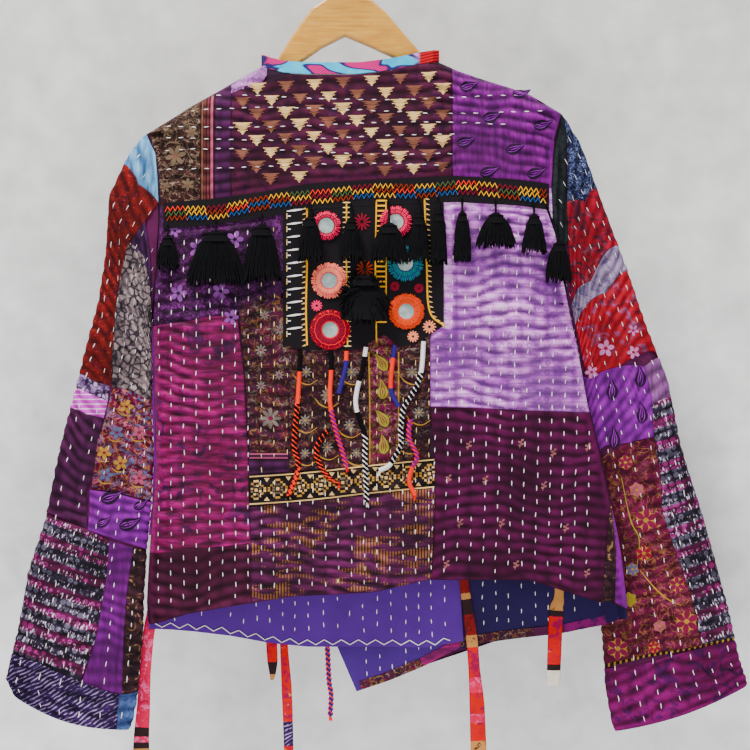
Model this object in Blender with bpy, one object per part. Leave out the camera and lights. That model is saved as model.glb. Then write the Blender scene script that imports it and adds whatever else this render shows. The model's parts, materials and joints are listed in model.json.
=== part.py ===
# Quilted patchwork jacket hanging on a flat wooden hanger.
# The back of the jacket faces -Y, +X is to the right of it, +Z is up.
# The origin is the inner top of the hanger's hook. Sizes are in millimetres until the meshes are made.

import math

import bmesh
import bpy
import numpy as np

MM = 0.001

# Cloth and seams
WALL = 2.0  # quilted cotton, three thin layers
GAP = 0.3  # between two pieces at a seam
SEAT = 0.4  # from the cloth to what lies on it
RIPPLE = 0.7  # height of the quilting's ridges
ROW_PITCH = 10.6  # from a ridge to the next hollow
RIPPLE_WAVE = 1.6  # how far a ridge wanders up and down
RIPPLE_WAVE_LENGTH = 145.0
CALM_MARGIN = 12.0  # the ridges stop this far above and below what lies on the back
CALM_COLUMN = 30.0  # and this far beside it

# Depth of the body, from its middle plane
BACK_DEPTH = 18.0
LEFT_FRONT_DEPTH = 14.0  # the front that lies inside the other
RIGHT_FRONT_DEPTH = 18.5
NECK_SHALLOWER = 3.0  # the body is this much thinner at the neck
NECK_FADE = 80.0
EDGE_ROUND = 45.0  # width of the rounded part beside a side seam
ARMHOLE_DEPTH = 10.0
ROUND_POWER = 0.7  # how full the sleeve's section is
BACK_COLUMNS = 14  # between the rounded parts
FRONT_COLUMNS = 8
EDGE_TURNS = 3  # columns in a rounded part
FRONT_NECK_DROP = 44.0

# Sections of the body from the neck down: both ends of each row, across and up
# leftX, leftZ, rightX, rightZ, rightSeamY
SECTIONS = np.array(
    (
        (-87, -143, 98, -139, 0),
        (-104, -153, 112, -146, 0),
        (-121, -163, 136, -154, 0),
        (-142, -175, 149, -159, 0),
        (-164, -187, 174, -166, 0),
        (-187, -202, 194, -173, 0),
        (-208, -214, 227, -193, 0),
        (-198, -235, 219, -232, 0),
        (-195, -262, 216, -270, 0),
        (-194, -288, 217, -307, 0),
        (-195, -326, 223, -336, 0),
        (-198, -362, 229, -368, 0),
        (-202, -399, 235, -397, 0),
        (-200, -446, 244, -441, -6),
        (-200, -494, 253, -494, -9),
        (-198, -558, 267, -551, -11),
        (-201, -600, 277, -598, -12),
        (-205, -650, 284, -630, -13),
        (-208, -704, 290, -667, -14),
        (-206, -728, 295, -711, -14),
    ),
    float,
)
LAST = len(SECTIONS) - 1
TIP, ARMPIT = 6, 12  # rows of the shoulder tips and of the armpits

# Hem and neck lines: x, z
BACK_NECK = ((-87, -143), (-77, -150), (-56, -154), (15, -154), (48, -150), (86, -142), (98, -139))
BACK_HEM = (
    (-206, -728), (-188, -720), (-163, -715), (-111, -706), (-60, -697), (0, -693), (29, -691),
    (69, -679), (131, -678), (192, -678), (228, -684), (257, -695), (295, -711),
)
LEFT_FRONT_HEM = ((-206, -734), (-133, -740), (-75, -751), (-45, -754), (40, -754), (92, -755), (125, -748))
RIGHT_FRONT_HEM = (
    (12, -802), (47, -790), (81, -776), (121, -755), (162, -748), (232, -740), (270, -732), (295, -721),
)
# Centre edges of the fronts: row, x
LEFT_FRONT_EDGE = ((0, 58), (6, 84), (12, 106), (19, 125))
RIGHT_FRONT_EDGE = ((0, 0), (10, -3), (16, -10), (18, -9), (19, 12))

# Sleeves: outer and inner edge of each section, its middle plane and its half depth
# outerX, outerZ, innerX, innerZ, middleY, halfDepth
LEFT_SLEEVE = np.array(
    (
        (-208, -214, -202, -399, 0, 10),
        (-227, -238, -203, -415, 0, 10),
        (-247, -281, -203, -430, 0, 10),
        (-250, -340, -203, -450, 0, 10),
        (-258, -395, -203, -478, 0, 9.5),
        (-272, -445, -204, -512, 0, 9),
        (-286, -503, -202, -550, 0, 9),
        (-300, -556, -205, -600, 0, 9),
        (-312, -618, -210, -650, 0, 9),
        (-330, -673, -213, -704, 0, 9),
        (-342, -738, -215, -750, 0, 9),
        (-354, -786, -219, -800, 0, 8.5),
        (-345, -805, -227, -839, 0, 8),
    ),
    float,
)
RIGHT_SLEEVE = np.array(
    (
        (227, -193, 235, -397, 0, 10),
        (248, -228, 238, -415, 5, 10),
        (262, -264, 241, -432, 8, 10),
        (280, -313, 244, -455, 10, 10),
        (299, -365, 246, -482, 11, 9.5),
        (317, -418, 250, -515, 12, 9),
        (339, -472, 254, -553, 14, 8.5),
        (352, -537, 259, -598, 16, 8),
        (373, -605, 265, -650, 18, 8),
        (390, -662, 270, -700, 20, 8),
        (404, -715, 275, -748, 20, 8),
        (416, -769, 277, -795, 19, 8),
        (425, -796, 286, -844, 18, 8),
    ),
    float,
)
LEFT_CUFF_BOW = 9.0
RIGHT_CUFF_BOW = 6.0
SLEEVE_AROUND = 12

# Large soft folds: from x, z to x, z, width, depth (plus is towards +Y)
BACK_FOLDS = (
    (-150, -500, -120, -700, 22, 2.5),
    (-40, -520, -25, -690, 18, -2.0),
    (70, -560, 95, -680, 20, 2.5),
    (150, -480, 185, -670, 24, -2.5),
    (225, -470, 250, -690, 20, 2.0),
    (-185, -300, -120, -390, 18, 2.0),
    (205, -300, 150, -400, 20, 2.0),
)
FRONT_FOLDS = (
    (-150, -520, -130, -730, 24, -2.0),
    (-60, -560, -75, -740, 20, 1.5),
    (180, -500, 205, -730, 24, -2.5),
    (-150, -330, -90, -420, 20, -2.0),
    (200, -330, 130, -430, 20, -2.5),
)
LEFT_SLEEVE_FOLDS = (
    (-255, -400, -210, -470, 12, 2.5),
    (-262, -450, -212, -540, 10, 2.5),
    (-300, -620, -225, -600, 12, 2.0),
    (-213, -520, -222, -660, 9, 2.5),
    (-330, -700, -250, -740, 14, -2.0),
)
RIGHT_SLEEVE_FOLDS = (
    (300, -390, 262, -470, 12, 2.5),
    (330, -470, 275, -540, 12, 2.0),
    (375, -620, 300, -600, 14, 2.5),
    (350, -640, 365, -780, 14, -2.0),
    (390, -700, 330, -740, 12, 2.0),
)

# Trim band with its zigzag braid: x, z of its top edge
TRIM_TOP = (
    (-190, -288), (-136, -284), (-86, -277), (-36, -268), (32, -264), (113, -260), (182, -264), (214, -268),
)
TRIM_HEIGHT = 27.0
TRIM_THICK = 2.0
# Mirror-work patch: x, z of its lower edge
MIRROR_BOTTOM = (
    (-64, -436), (-42, -441), (13, -441), (22, -436), (41, -425), (58, -438), (74, -435), (103, -416),
)
MIRROR_THICK = 2.0
# Rosettes: centre x, z, outer radius
ROSETTES = (
    (-19, -312, 14.5),
    (-16, -369, 18),
    (-15, -420, 20.5),
    (53, -308, 16),
    (63, -351, 18),
    (64, -401, 18),
)
MIRROR_RADIUS = 8.2
ROSETTE_THICK = 2.6
# Tassels: left x, right x, top of the head, bottom
TASSELS = (
    (-194, -173, -322, -356),
    (-161, -105, -318, -373),
    (-104, -67, -312, -369),
    (-47, -24, -303, -349),
    (-4, 17, -306, -349),
    (-8, 50, -364, -420),
    (26, 66, -310, -351),
    (66, 88, -301, -349),
    (89, 106, -297, -352),
    (114, 130, -297, -349),
    (138, 175, -299, -335),
    (185, 208, -300, -341),
    (210, 235, -328, -370),
)
OVER_MIRROR = range(3, 9)  # these hang in front of the mirror-work patch
POMPOM = 5
BEHIND_TASSEL = 1.6  # from the cloth to a tassel's rear
BEHIND_OVER_PATCH = 6.8
STEM_RADIUS = 1.3
ROOT_PARTING = 0.14  # gap between the roots of two locks, as a share of the underside's radius
LOCK_SWELL = 1.12  # locks are this much wider at their ends than their spread makes them
LOCK_JITTER = 4.0  # locks end at uneven heights
STEM_LAP = 3.0  # a stem is sewn to the face of the trim
POMPOM_STEM = 14.0  # the middle one is sewn to the face of the patch

# Braided cords on the back: x, z from the patch's lower edge down
BRAID_RADIUS = 2.6
BRAIDS = (
    ("braid_1", ((-46, -442), (-47, -466), (-49, -498), (-51, -520), (-52, -543), (-48, -563), (-58, -592))),
    ("braid_2", ((-14, -442), (-14, -461), (-15, -497), (-8, -528), (-2, -547), (2, -563))),
    ("braid_3", ((2, -442), (1, -458), (-3, -474), (-6, -486))),
    ("braid_4", ((22, -438), (19, -460), (13, -482), (12, -501), (21, -530), (21, -551), (22, -573), (23, -599))),
    ("braid_5", ((52, -436), (48, -470), (49, -486), (56, -500))),
    ("braid_6", ((82, -432), (79, -466), (70, -487), (61, -502), (58, -524), (58, -540), (47, -560), (36, -566))),
    ("braid_7", ((68, -513), (67, -532), (75, -551), (70, -564), (67, -578), (73, -592))),
    ("braid_8", ((-17, -524), (-28, -539), (-28, -554), (-18, -572), (-6, -580))),
)
# Braid at the centre edge of the right front
FRONT_BRAID = ((-20, -742), (-19, -756), (-18, -775), (-17, -793), (-15, -806), (-16, -828))

# Fabric ties: centre x, z, half width, y down the strip
TIE_THICK = 2.4
TIES = (
    ("tie_left_side", ((-196, -665, 6, 12.1), (-200, -700, 6, 11.4), (-207, -738, 6, 10.2), (-211, -780, 6, 11),
                       (-213, -820, 7, 10.5), (-215, -850, 8, 10), (-215, -880, 9, 10))),
    ("tie_left_outer", ((-78, -700, 6, 18), (-78, -748, 6, 18), (-77, -770, 5.5, 17), (-77, -785, 3, 17),
                        (-78, -790, 1.5, 17))),
    ("tie_left_edge_outer", ((-65, -700, 4, 17.7), (-65, -750, 4, 17.7), (-62, -800, 5.5, 17), (-60, -860, 5, 17),
                             (-61, -885, 5, 17))),
    ("tie_left_edge_inner", ((121, -640, 4, 10), (126, -690, 5, 10), (133, -740, 6, 9.5), (136, -776, 6, 9),
                             (139, -815, 8, 9), (141, -875, 8.5, 9))),
    ("tie_right_inner", ((226, -640, 5, 13), (226, -700, 5, 13), (223, -715, 7.5, 13), (221, -760, 7.5, 13),
                         (220, -795, 7, 13))),
)

# Neck binding
BINDING_HEIGHT = 12.0
BINDING_THICK = 3.0
BINDING_GAP = 0.6  # it clears the slanting corners at the shoulders

# Hanger: half outline from the hump to the tips of the arms, x, z of the top edge and of the lower edge
HANGER_THICK = 11.0
HANGER_ROUND = 2.5
HANGER_LEFT_TOP = (
    (-13, -67), (-22, -74), (-34, -82), (-47, -99), (-59, -117), (-70, -135), (-83, -149.4), (-104, -161.3),
    (-142, -182.3), (-170, -198.5), (-182, -207),
)
HANGER_LEFT_LOW = ((-184, -217), (-176, -222), (-150, -212), (-110, -191), (-75, -166), (-47, -140), (-24, -124))
HANGER_RIGHT_LOW = ((24, -122), (48, -133), (80, -152), (120, -172), (160, -186), (192, -195), (200, -192))
HANGER_RIGHT_TOP = (
    (200, -184), (190, -179), (160, -169), (136, -162), (112, -156), (93, -147), (79, -129), (59, -106),
    (43, -87), (28, -74), (13, -67),
)
HANGER_APEX = -112.0
HUMP_TOP = -65.0
HOOK_INNER_RADIUS = 20.0
HOOK_WIRE_RADIUS = 1.7

FABRIC_FINISH = (0.85, 0.0)  # roughness, metallic


# Building meshes


def clear_scene():
    for old in list(bpy.data.objects):
        bpy.data.objects.remove(old, do_unlink=True)


def material(name, colour, roughness, metallic):
    made = bpy.data.materials.new(name)
    made.use_nodes = True
    shader = made.node_tree.nodes["Principled BSDF"]
    shader.inputs["Base Color"].default_value = (*colour, 1.0)
    shader.inputs["Roughness"].default_value = roughness
    shader.inputs["Metallic"].default_value = metallic
    return made


def mesh_object(name, points, faces, made_of):
    mesh = bpy.data.meshes.new(name)
    mesh.from_pydata([tuple(p * MM) for p in np.asarray(points, float)], [], faces)
    mesh.update()
    shape = bmesh.new()
    shape.from_mesh(mesh)
    bmesh.ops.recalc_face_normals(shape, faces=shape.faces)
    if shape.calc_volume(signed=True) < 0:
        bmesh.ops.reverse_faces(shape, faces=shape.faces)
    shape.to_mesh(mesh)
    shape.free()
    mesh.shade_smooth()
    mesh.set_sharp_from_angle(angle=math.radians(50))
    mesh.materials.append(made_of)
    made = bpy.data.objects.new(name, mesh)
    bpy.context.scene.collection.objects.link(made)
    return made


def shares_along(line):
    steps = np.linalg.norm(np.diff(line, axis=0), axis=1)
    return np.concatenate([[0], np.cumsum(steps)]) / np.sum(steps)


def zip_edges(first, second, points):
    """Triangles between two lines of vertex numbers that run side by side, matched by their length so far."""
    faces = []
    along_first, along_second = shares_along(points[first]), shares_along(points[second])
    i = j = 0
    while i < len(first) - 1 or j < len(second) - 1:
        take_first = j == len(second) - 1
        if i < len(first) - 1 and not take_first:
            take_first = along_first[i + 1] <= along_second[j + 1]
        if take_first:
            faces.append((first[i], first[i + 1], second[j]))
            i += 1
        else:
            faces.append((first[i], second[j + 1], second[j]))
            j += 1
    return faces


def grid_faces(rows, columns, start):
    faces = []
    for r in range(rows - 1):
        for c in range(columns - 1):
            a = start + r * columns + c
            faces.append((a, a + 1, a + columns + 1, a + columns))
    return faces


def sides_of(rows, columns, start):
    """Vertex numbers of a grid's top, right, bottom and left side, each running the same way round."""
    number = start + np.arange(rows * columns).reshape(rows, columns)
    return (list(number[0]), list(number[:, -1]), list(number[-1][::-1]), list(number[::-1, 0]))


def wall_between(name, outer, inner, made_of):
    """A closed wall from a fine outer grid and a plain inner one whose corners match."""
    rows, columns = outer.shape[:2]
    inner_rows, inner_columns = inner.shape[:2]
    start = rows * columns
    faces = grid_faces(rows, columns, 0) + grid_faces(inner_rows, inner_columns, start)
    points = np.concatenate([outer.reshape(-1, 3), inner.reshape(-1, 3)])
    for mine, theirs in zip(sides_of(rows, columns, 0), sides_of(inner_rows, inner_columns, start)):
        faces += zip_edges([int(n) for n in mine], [int(n) for n in theirs], points)
    return mesh_object(name, points, faces, made_of)


def tube_between(name, outer, inner, made_of):
    """A closed hollow tube from rings of an outer and an inner surface, open at both ends."""
    around = outer.shape[1]
    faces = []
    start = 0
    for rings in (outer, inner):
        for r in range(len(rings) - 1):
            for k in range(around):
                a, b = start + r * around + k, start + r * around + (k + 1) % around
                faces.append((a, b, b + around, a + around))
        start += rings.shape[0] * around
    first_inner = outer.shape[0] * around
    ends = ((0, first_inner), (first_inner - around, start - around))
    for mine, theirs in ends:
        for k in range(around):
            n = (k + 1) % around
            faces.append((mine + k, mine + n, theirs + n, theirs + k))
    points = np.concatenate([outer.reshape(-1, 3), inner.reshape(-1, 3)])
    return mesh_object(name, points, faces, made_of)


def curve_through(points, step):
    """Points about step apart on a smooth curve through the given ones."""
    p = np.asarray(points, float)
    ends = np.vstack([2 * p[0] - p[1], p, 2 * p[-1] - p[-2]])
    fine = []
    for k in range(1, len(ends) - 2):
        a, b, c, d = ends[k - 1 : k + 3]
        for t in np.linspace(0, 1, 12, endpoint=False):
            fine.append(
                0.5 * (2 * b + (c - a) * t + (2 * a - 5 * b + 4 * c - d) * t**2 + (3 * b - a - 3 * c + d) * t**3)
            )
    fine.append(p[-1])
    fine = np.array(fine)
    along = np.concatenate([[0], np.cumsum(np.linalg.norm(np.diff(fine, axis=0), axis=1))])
    at = np.linspace(0, along[-1], max(3, round(along[-1] / step) + 1))
    return np.stack([np.interp(at, along, fine[:, k]) for k in range(3)], axis=1)


def cord(name, points, radius, made_of, resolution=2):
    line = bpy.data.curves.new(name, "CURVE")
    line.dimensions = "3D"
    line.bevel_depth = radius * MM
    line.bevel_resolution = resolution
    line.use_fill_caps = True
    spline = line.splines.new("POLY")
    spline.points.add(len(points) - 1)
    for place, point in zip(spline.points, points):
        place.co = (*(np.asarray(point, float) * MM), 1.0)
    line.materials.append(made_of)
    made = bpy.data.objects.new(name, line)
    bpy.context.scene.collection.objects.link(made)
    return made


# The body's surface


def column(name):
    return SECTIONS[:, {"leftX": 0, "leftZ": 1, "rightX": 2, "rightZ": 3, "seamY": 4}[name]]


def at_row(name, row):
    return np.interp(row, np.arange(LAST + 1), column(name))


def edge_x(side, z):
    """Across place of the body's left or right edge at a height."""
    return np.interp(-z, -column(side + "Z"), column(side + "X"))


def armhole_depth(side, z):
    high, low = column(side + "Z")[TIP], column(side + "Z")[ARMPIT]
    down = np.clip((high - z) / (high - low), 0, 1)
    return ARMHOLE_DEPTH * (2 * np.sqrt(down * (1 - down))) ** ROUND_POWER


def seam_y(side, z):
    if side == "left":
        return 0.0 * z
    return np.interp(-z, -column("rightZ"), column("seamY"))


def ease(t):
    t = np.clip(t, 0, 1)
    return t * t * (3 - 2 * t)


def middle_depth(depth, z):
    return depth - NECK_SHALLOWER * (1 - ease((column("leftZ")[0] - z) / NECK_FADE))


def fold_depth(folds, x, z):
    total = 0.0 * x
    for x0, z0, x1, z1, width, depth in folds:
        along = np.array((x1 - x0, z1 - z0), float)
        length = np.linalg.norm(along)
        along /= length
        t = ((x - x0) * along[0] + (z - z0) * along[1]) / length
        off = (x - x0) * along[1] - (z - z0) * along[0]
        fade = ease((t + 0.2) / 0.5) * ease((1.3 - t) / 0.5)
        total = total + depth * np.exp(-((off / width) ** 2)) * fade
    return total


def round_width(z):
    return np.minimum(EDGE_ROUND, 0.25 * (edge_x("right", z) - edge_x("left", z)))


def body_y(x, z, facing, depth, folds):
    """Outer surface of a panel: facing is -1 on the back and +1 on a front."""
    middle = facing * middle_depth(depth, z)
    y = middle + 0.0 * x
    calm = 1.0
    for side, way in (("left", 1), ("right", -1)):
        q = np.clip(way * (x - edge_x(side, z)) / round_width(z), 0, 1)
        arm = armhole_depth(side, z)
        soft = np.minimum(1, 2.5 * arm / ARMHOLE_DEPTH)
        profile = (1 - soft) * np.sqrt(1 - (1 - q) ** 2) + soft * np.sin(q * math.pi / 2)
        edge = seam_y(side, z) + facing * (arm + GAP / 2)
        y = y + (edge - middle) * (1 - profile)
        calm = calm * ease(q)
    return y + calm * fold_depth(folds, x, z)


def inward(side, row):
    """Direction across and up from a side edge into the cloth."""
    a, b = max(row - 0.4, 0), min(row + 0.4, LAST)
    along = np.array((at_row(side + "X", b) - at_row(side + "X", a), at_row(side + "Z", b) - at_row(side + "Z", a)))
    along /= np.linalg.norm(along)
    return np.array((-along[1], along[0])) if side == "left" else np.array((along[1], -along[0]))


def rows_down(count):
    """Row numbers that are evenly spaced down the body."""
    z = (column("leftZ") + column("rightZ")) / 2
    return np.interp(np.linspace(z[0], z[-1], count), z[::-1], np.arange(LAST + 1)[::-1])


def across(edges, turns, middles):
    """Column places as (left edge's turn or None, share of the middle, right edge's turn or None)."""
    places = []
    if edges[0]:
        places += [("left", a) for a in np.linspace(0, math.pi / 2, turns + 1)[:-1]]
    places += [("middle", s) for s in np.linspace(0, 1, middles)]
    if edges[1]:
        places += [("right", a) for a in np.linspace(math.pi / 2, 0, turns + 1)[1:]]
    return places


class Panel:
    """One body panel: its side edges, its neck and hem lines, its depth and its folds."""

    def __init__(self, facing, depth, folds, neck, neck_rows, hem, left=None, right=None):
        self.facing, self.depth, self.folds = facing, depth, folds
        self.neck, self.neck_rows, self.hem = neck, neck_rows, np.array(hem, float)
        self.left, self.right = left, right

    def ends(self, row):
        left = at_row("leftX", row) + GAP / 2 if self.left is None else np.interp(row, *zip(*self.left))
        right = at_row("rightX", row) - GAP / 2 if self.right is None else np.interp(row, *zip(*self.right))
        return left, right

    def height(self, x, row):
        def line(r):
            share = (x - at_row("leftX", r)) / (at_row("rightX", r) - at_row("leftX", r))
            return at_row("leftZ", r) + share * (at_row("rightZ", r) - at_row("leftZ", r))

        high = max(0.0, 1 - row / self.neck_rows) ** 1.3
        low = max(0.0, (row - ARMPIT) / (LAST - ARMPIT)) ** 1.5
        top = self.neck(x) - line(0)
        bottom = np.interp(x, self.hem[:, 0], self.hem[:, 1]) - line(LAST)
        return line(row) + high * top + low * bottom

    def point(self, row, place, lift=0.0):
        """A point on the outer surface, and the way out of the cloth there."""
        kind, value = place
        left, right = self.ends(row)
        turn_left = 0.0 if self.left is not None else 1.0
        turn_right = 0.0 if self.right is not None else 1.0
        reach = min(EDGE_ROUND, 0.25 * (at_row("rightX", row) - at_row("leftX", row)))
        out = np.array((0.0, float(self.facing), 0.0))
        if kind == "middle":
            x = left + turn_left * reach + value * (right - left - (turn_left + turn_right) * reach)
        else:
            way = 1 if kind == "left" else -1
            x = (left if kind == "left" else right) + way * reach * (1 - math.cos(value))
        z = float(self.height(x, row))
        y = float(body_y(x, z, self.facing, self.depth, self.folds))
        if kind != "middle":
            soft = min(1, 2.5 * float(armhole_depth(kind, z)) / ARMHOLE_DEPTH)
            turn = value + (math.pi / 2 - value) * soft
            into = inward(kind, row)
            out = np.array(
                (-into[0] * math.cos(turn), self.facing * math.sin(turn), -into[1] * math.cos(turn))
            )
        return np.array((x, y, z)) + lift * out, out


def calm_zone(x, z):
    """1 on open cloth and 0 under the trim and the mirror-work patch, which lie on a smooth back."""
    top = trim_top(x)
    under_trim = top - TRIM_HEIGHT - CALM_MARGIN < z < top + CALM_MARGIN
    patch_left, patch_right = MIRROR_BOTTOM[0][0] - CALM_COLUMN, MIRROR_BOTTOM[-1][0] + CALM_COLUMN
    lowest = min(mirror_bottom(x - CALM_COLUMN), mirror_bottom(x), mirror_bottom(x + CALM_COLUMN))
    under_patch = patch_left < x < patch_right and lowest - CALM_MARGIN < z < top
    return 0.0 if under_trim or under_patch else 1.0


def panel_object(name, panel, edges, middles, made_of, calm=None):
    count = round((column("leftZ")[0] - column("leftZ")[-1]) / ROW_PITCH)
    rows = rows_down(count)
    places = across(edges, EDGE_TURNS, middles)
    outer = np.zeros((len(rows), len(places), 3))
    for r, row in enumerate(rows):
        for c, place in enumerate(places):
            edge_row = r in (0, len(rows) - 1)
            edge_column = c in (0, len(places) - 1)
            point, out = panel.point(row, place)
            if not edge_row and not edge_column:
                share = calm(point[0], point[2]) if calm else 1.0
                wander = math.sin(point[0] * 2 * math.pi / RIPPLE_WAVE_LENGTH + row)
                point = point + share * RIPPLE * (1 if r % 2 else -1) * out
                point[2] += share * RIPPLE_WAVE * wander
            outer[r, c] = point
    inner = np.array([[panel.point(row, place, -WALL)[0] for place in places] for row in range(LAST + 1)])
    return wall_between(name, outer, inner, made_of)


# Sleeves


def sleeve_row(table, v):
    at = np.arange(len(table))
    return [float(np.interp(v, at, table[:, k])) for k in range(6)]


def sleeve_point(side, table, bow, folds, v, turn, lift=0.0):
    """A point on a sleeve: v runs from the armhole to the cuff, turn goes round from the outer edge."""
    last = len(table) - 1
    outer_x, outer_z, inner_x, inner_z, middle, half = sleeve_row(table, v)
    start, end = np.array((outer_x, outer_z)), np.array((inner_x, inner_z))
    share = (1 - math.cos(turn)) / 2
    place = start + (end - start) * share
    deep = -math.sin(turn)
    y = middle + half * math.copysign(abs(deep) ** ROUND_POWER, deep)
    chord = (end - start) / np.linalg.norm(end - start)
    across_part = math.copysign(abs(math.cos(turn)) ** 3, -math.cos(turn))
    up_part = math.copysign(math.sqrt(1 - across_part**2), deep)
    place = place + chord * across_part * lift
    y += up_part * lift
    tip_z, armpit_z = table[0, 1], table[0, 3]
    straight = table[0, 0] + (table[0, 2] - table[0, 0]) * share
    at_armhole = tip_z + (armpit_z - tip_z) * share
    if v == 0:
        at_armhole = place[1]
    near = max(0.0, 1 - v / 4) ** 1.5
    place[0] += (float(edge_x(side, at_armhole)) - straight) * near
    down = np.array((chord[1], -chord[0]))
    if down[1] > 0:
        down = -down
    place = place + down * bow * math.sin(math.pi * share) * max(0.0, (v - last + 4) / 4) ** 2
    outward = -1 if side == "left" else 1
    if v == 0:
        place[0] = float(edge_x(side, place[1])) + outward * GAP / 2
    else:
        y += float(fold_depth(folds, place[0], place[1])) * abs(math.sin(turn)) * (1 if deep < 0 else -0.7)
    return np.array((place[0], y, place[1]))


def sleeve_object(name, side, table, bow, folds, made_of):
    last = len(table) - 1
    middle = (table[:, 0:2] + table[:, 2:4]) / 2
    along = np.concatenate([[0], np.cumsum(np.linalg.norm(np.diff(middle, axis=0), axis=1))])
    count = round(along[-1] / ROW_PITCH)
    levels = np.interp(np.linspace(0, along[-1], count), along, np.arange(last + 1))
    turns = [2 * math.pi * k / SLEEVE_AROUND for k in range(SLEEVE_AROUND)]
    outer = []
    for r, v in enumerate(levels):
        ends = r in (0, count - 1)
        height = 0.0 if ends else RIPPLE * (1 if r % 2 else -1)
        outer.append([sleeve_point(side, table, bow, folds, v, t, height * abs(math.sin(t))) for t in turns])
    inner = [
        [sleeve_point(side, table, bow, folds, float(v), t, -WALL) for t in turns] for v in range(last + 1)
    ]
    return tube_between(name, np.array(outer), np.array(inner), made_of)


# What lies on the back


def trim_top(x):
    return float(np.interp(x, *zip(*TRIM_TOP)))


def mirror_bottom(x):
    return float(np.interp(x, *zip(*MIRROR_BOTTOM)))


def back_y(x, z):
    return float(body_y(np.float64(x), np.float64(z), -1, BACK_DEPTH, BACK_FOLDS))


def plate_on_back(name, xs, top, bottom, rows, thick, made_of):
    """A flat piece made from the back's points, moved out."""
    near, far = [], []
    for s in np.linspace(0, 1, rows):
        zs = [top(x) + s * (bottom(x) - top(x)) for x in xs]
        near.append([(x, back_y(x, z) - SEAT, z) for x, z in zip(xs, zs)])
        far.append([(x, back_y(x, z) - SEAT - thick, z) for x, z in zip(xs, zs)])
    return wall_between(name, np.array(far), np.array(near), made_of)


def trim_object(made_of):
    xs = np.linspace(TRIM_TOP[0][0] + 1, TRIM_TOP[-1][0] - 1, 34)
    return plate_on_back("trim_band", xs, trim_top, lambda x: trim_top(x) - TRIM_HEIGHT, 3, TRIM_THICK, made_of)


def mirror_panel_object(made_of):
    xs = np.array(sorted({x for x, _ in MIRROR_BOTTOM} | {-28, -2, 88}), float)
    return plate_on_back(
        "mirror_panel", xs, lambda x: trim_top(x) - TRIM_HEIGHT - GAP, mirror_bottom, 6, MIRROR_THICK, made_of
    )


def ring_of(x, z, radius, y, sides):
    turns = [2 * math.pi * k / sides for k in range(sides)]
    return [(x + radius * math.cos(t), y, z + radius * math.sin(t)) for t in turns]


def rosette_objects(colours, glass):
    """A raised ring of stitching with a small round mirror in its middle."""
    sides = 16
    for n, (x, z, radius) in enumerate(ROSETTES, 1):
        base = min(back_y(x + dx, z + dz) for dx in (-radius, 0, radius) for dz in (-radius, 0, radius))
        floor = base - SEAT - MIRROR_THICK - GAP
        top = floor - ROSETTE_THICK
        hole = MIRROR_RADIUS + GAP
        rings = [
            ring_of(x, z, hole, floor, sides),
            ring_of(x, z, radius, floor, sides),
            ring_of(x, z, radius - 1, floor - ROSETTE_THICK * 0.7, sides),
            ring_of(x, z, (radius + hole) / 2, top, sides),
            ring_of(x, z, hole, floor - ROSETTE_THICK * 0.6, sides),
        ]
        faces = []
        for r in range(5):
            for k in range(sides):
                a, b = r * sides + k, r * sides + (k + 1) % sides
                c, d = (r + 1) % 5 * sides + (k + 1) % sides, (r + 1) % 5 * sides + k
                faces.append((a, b, c, d))
        mesh_object(f"rosette_{n}", np.concatenate(rings), faces, colours[n - 1])
        discs = [ring_of(x, z, MIRROR_RADIUS, floor, sides), ring_of(x, z, MIRROR_RADIUS, floor - 1.2, sides)]
        faces = [tuple(range(sides)), tuple(range(sides, 2 * sides))]
        faces += [(k, (k + 1) % sides, sides + (k + 1) % sides, sides + k) for k in range(sides)]
        mesh_object(f"mirror_{n}", np.concatenate(discs), faces, glass)


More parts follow.
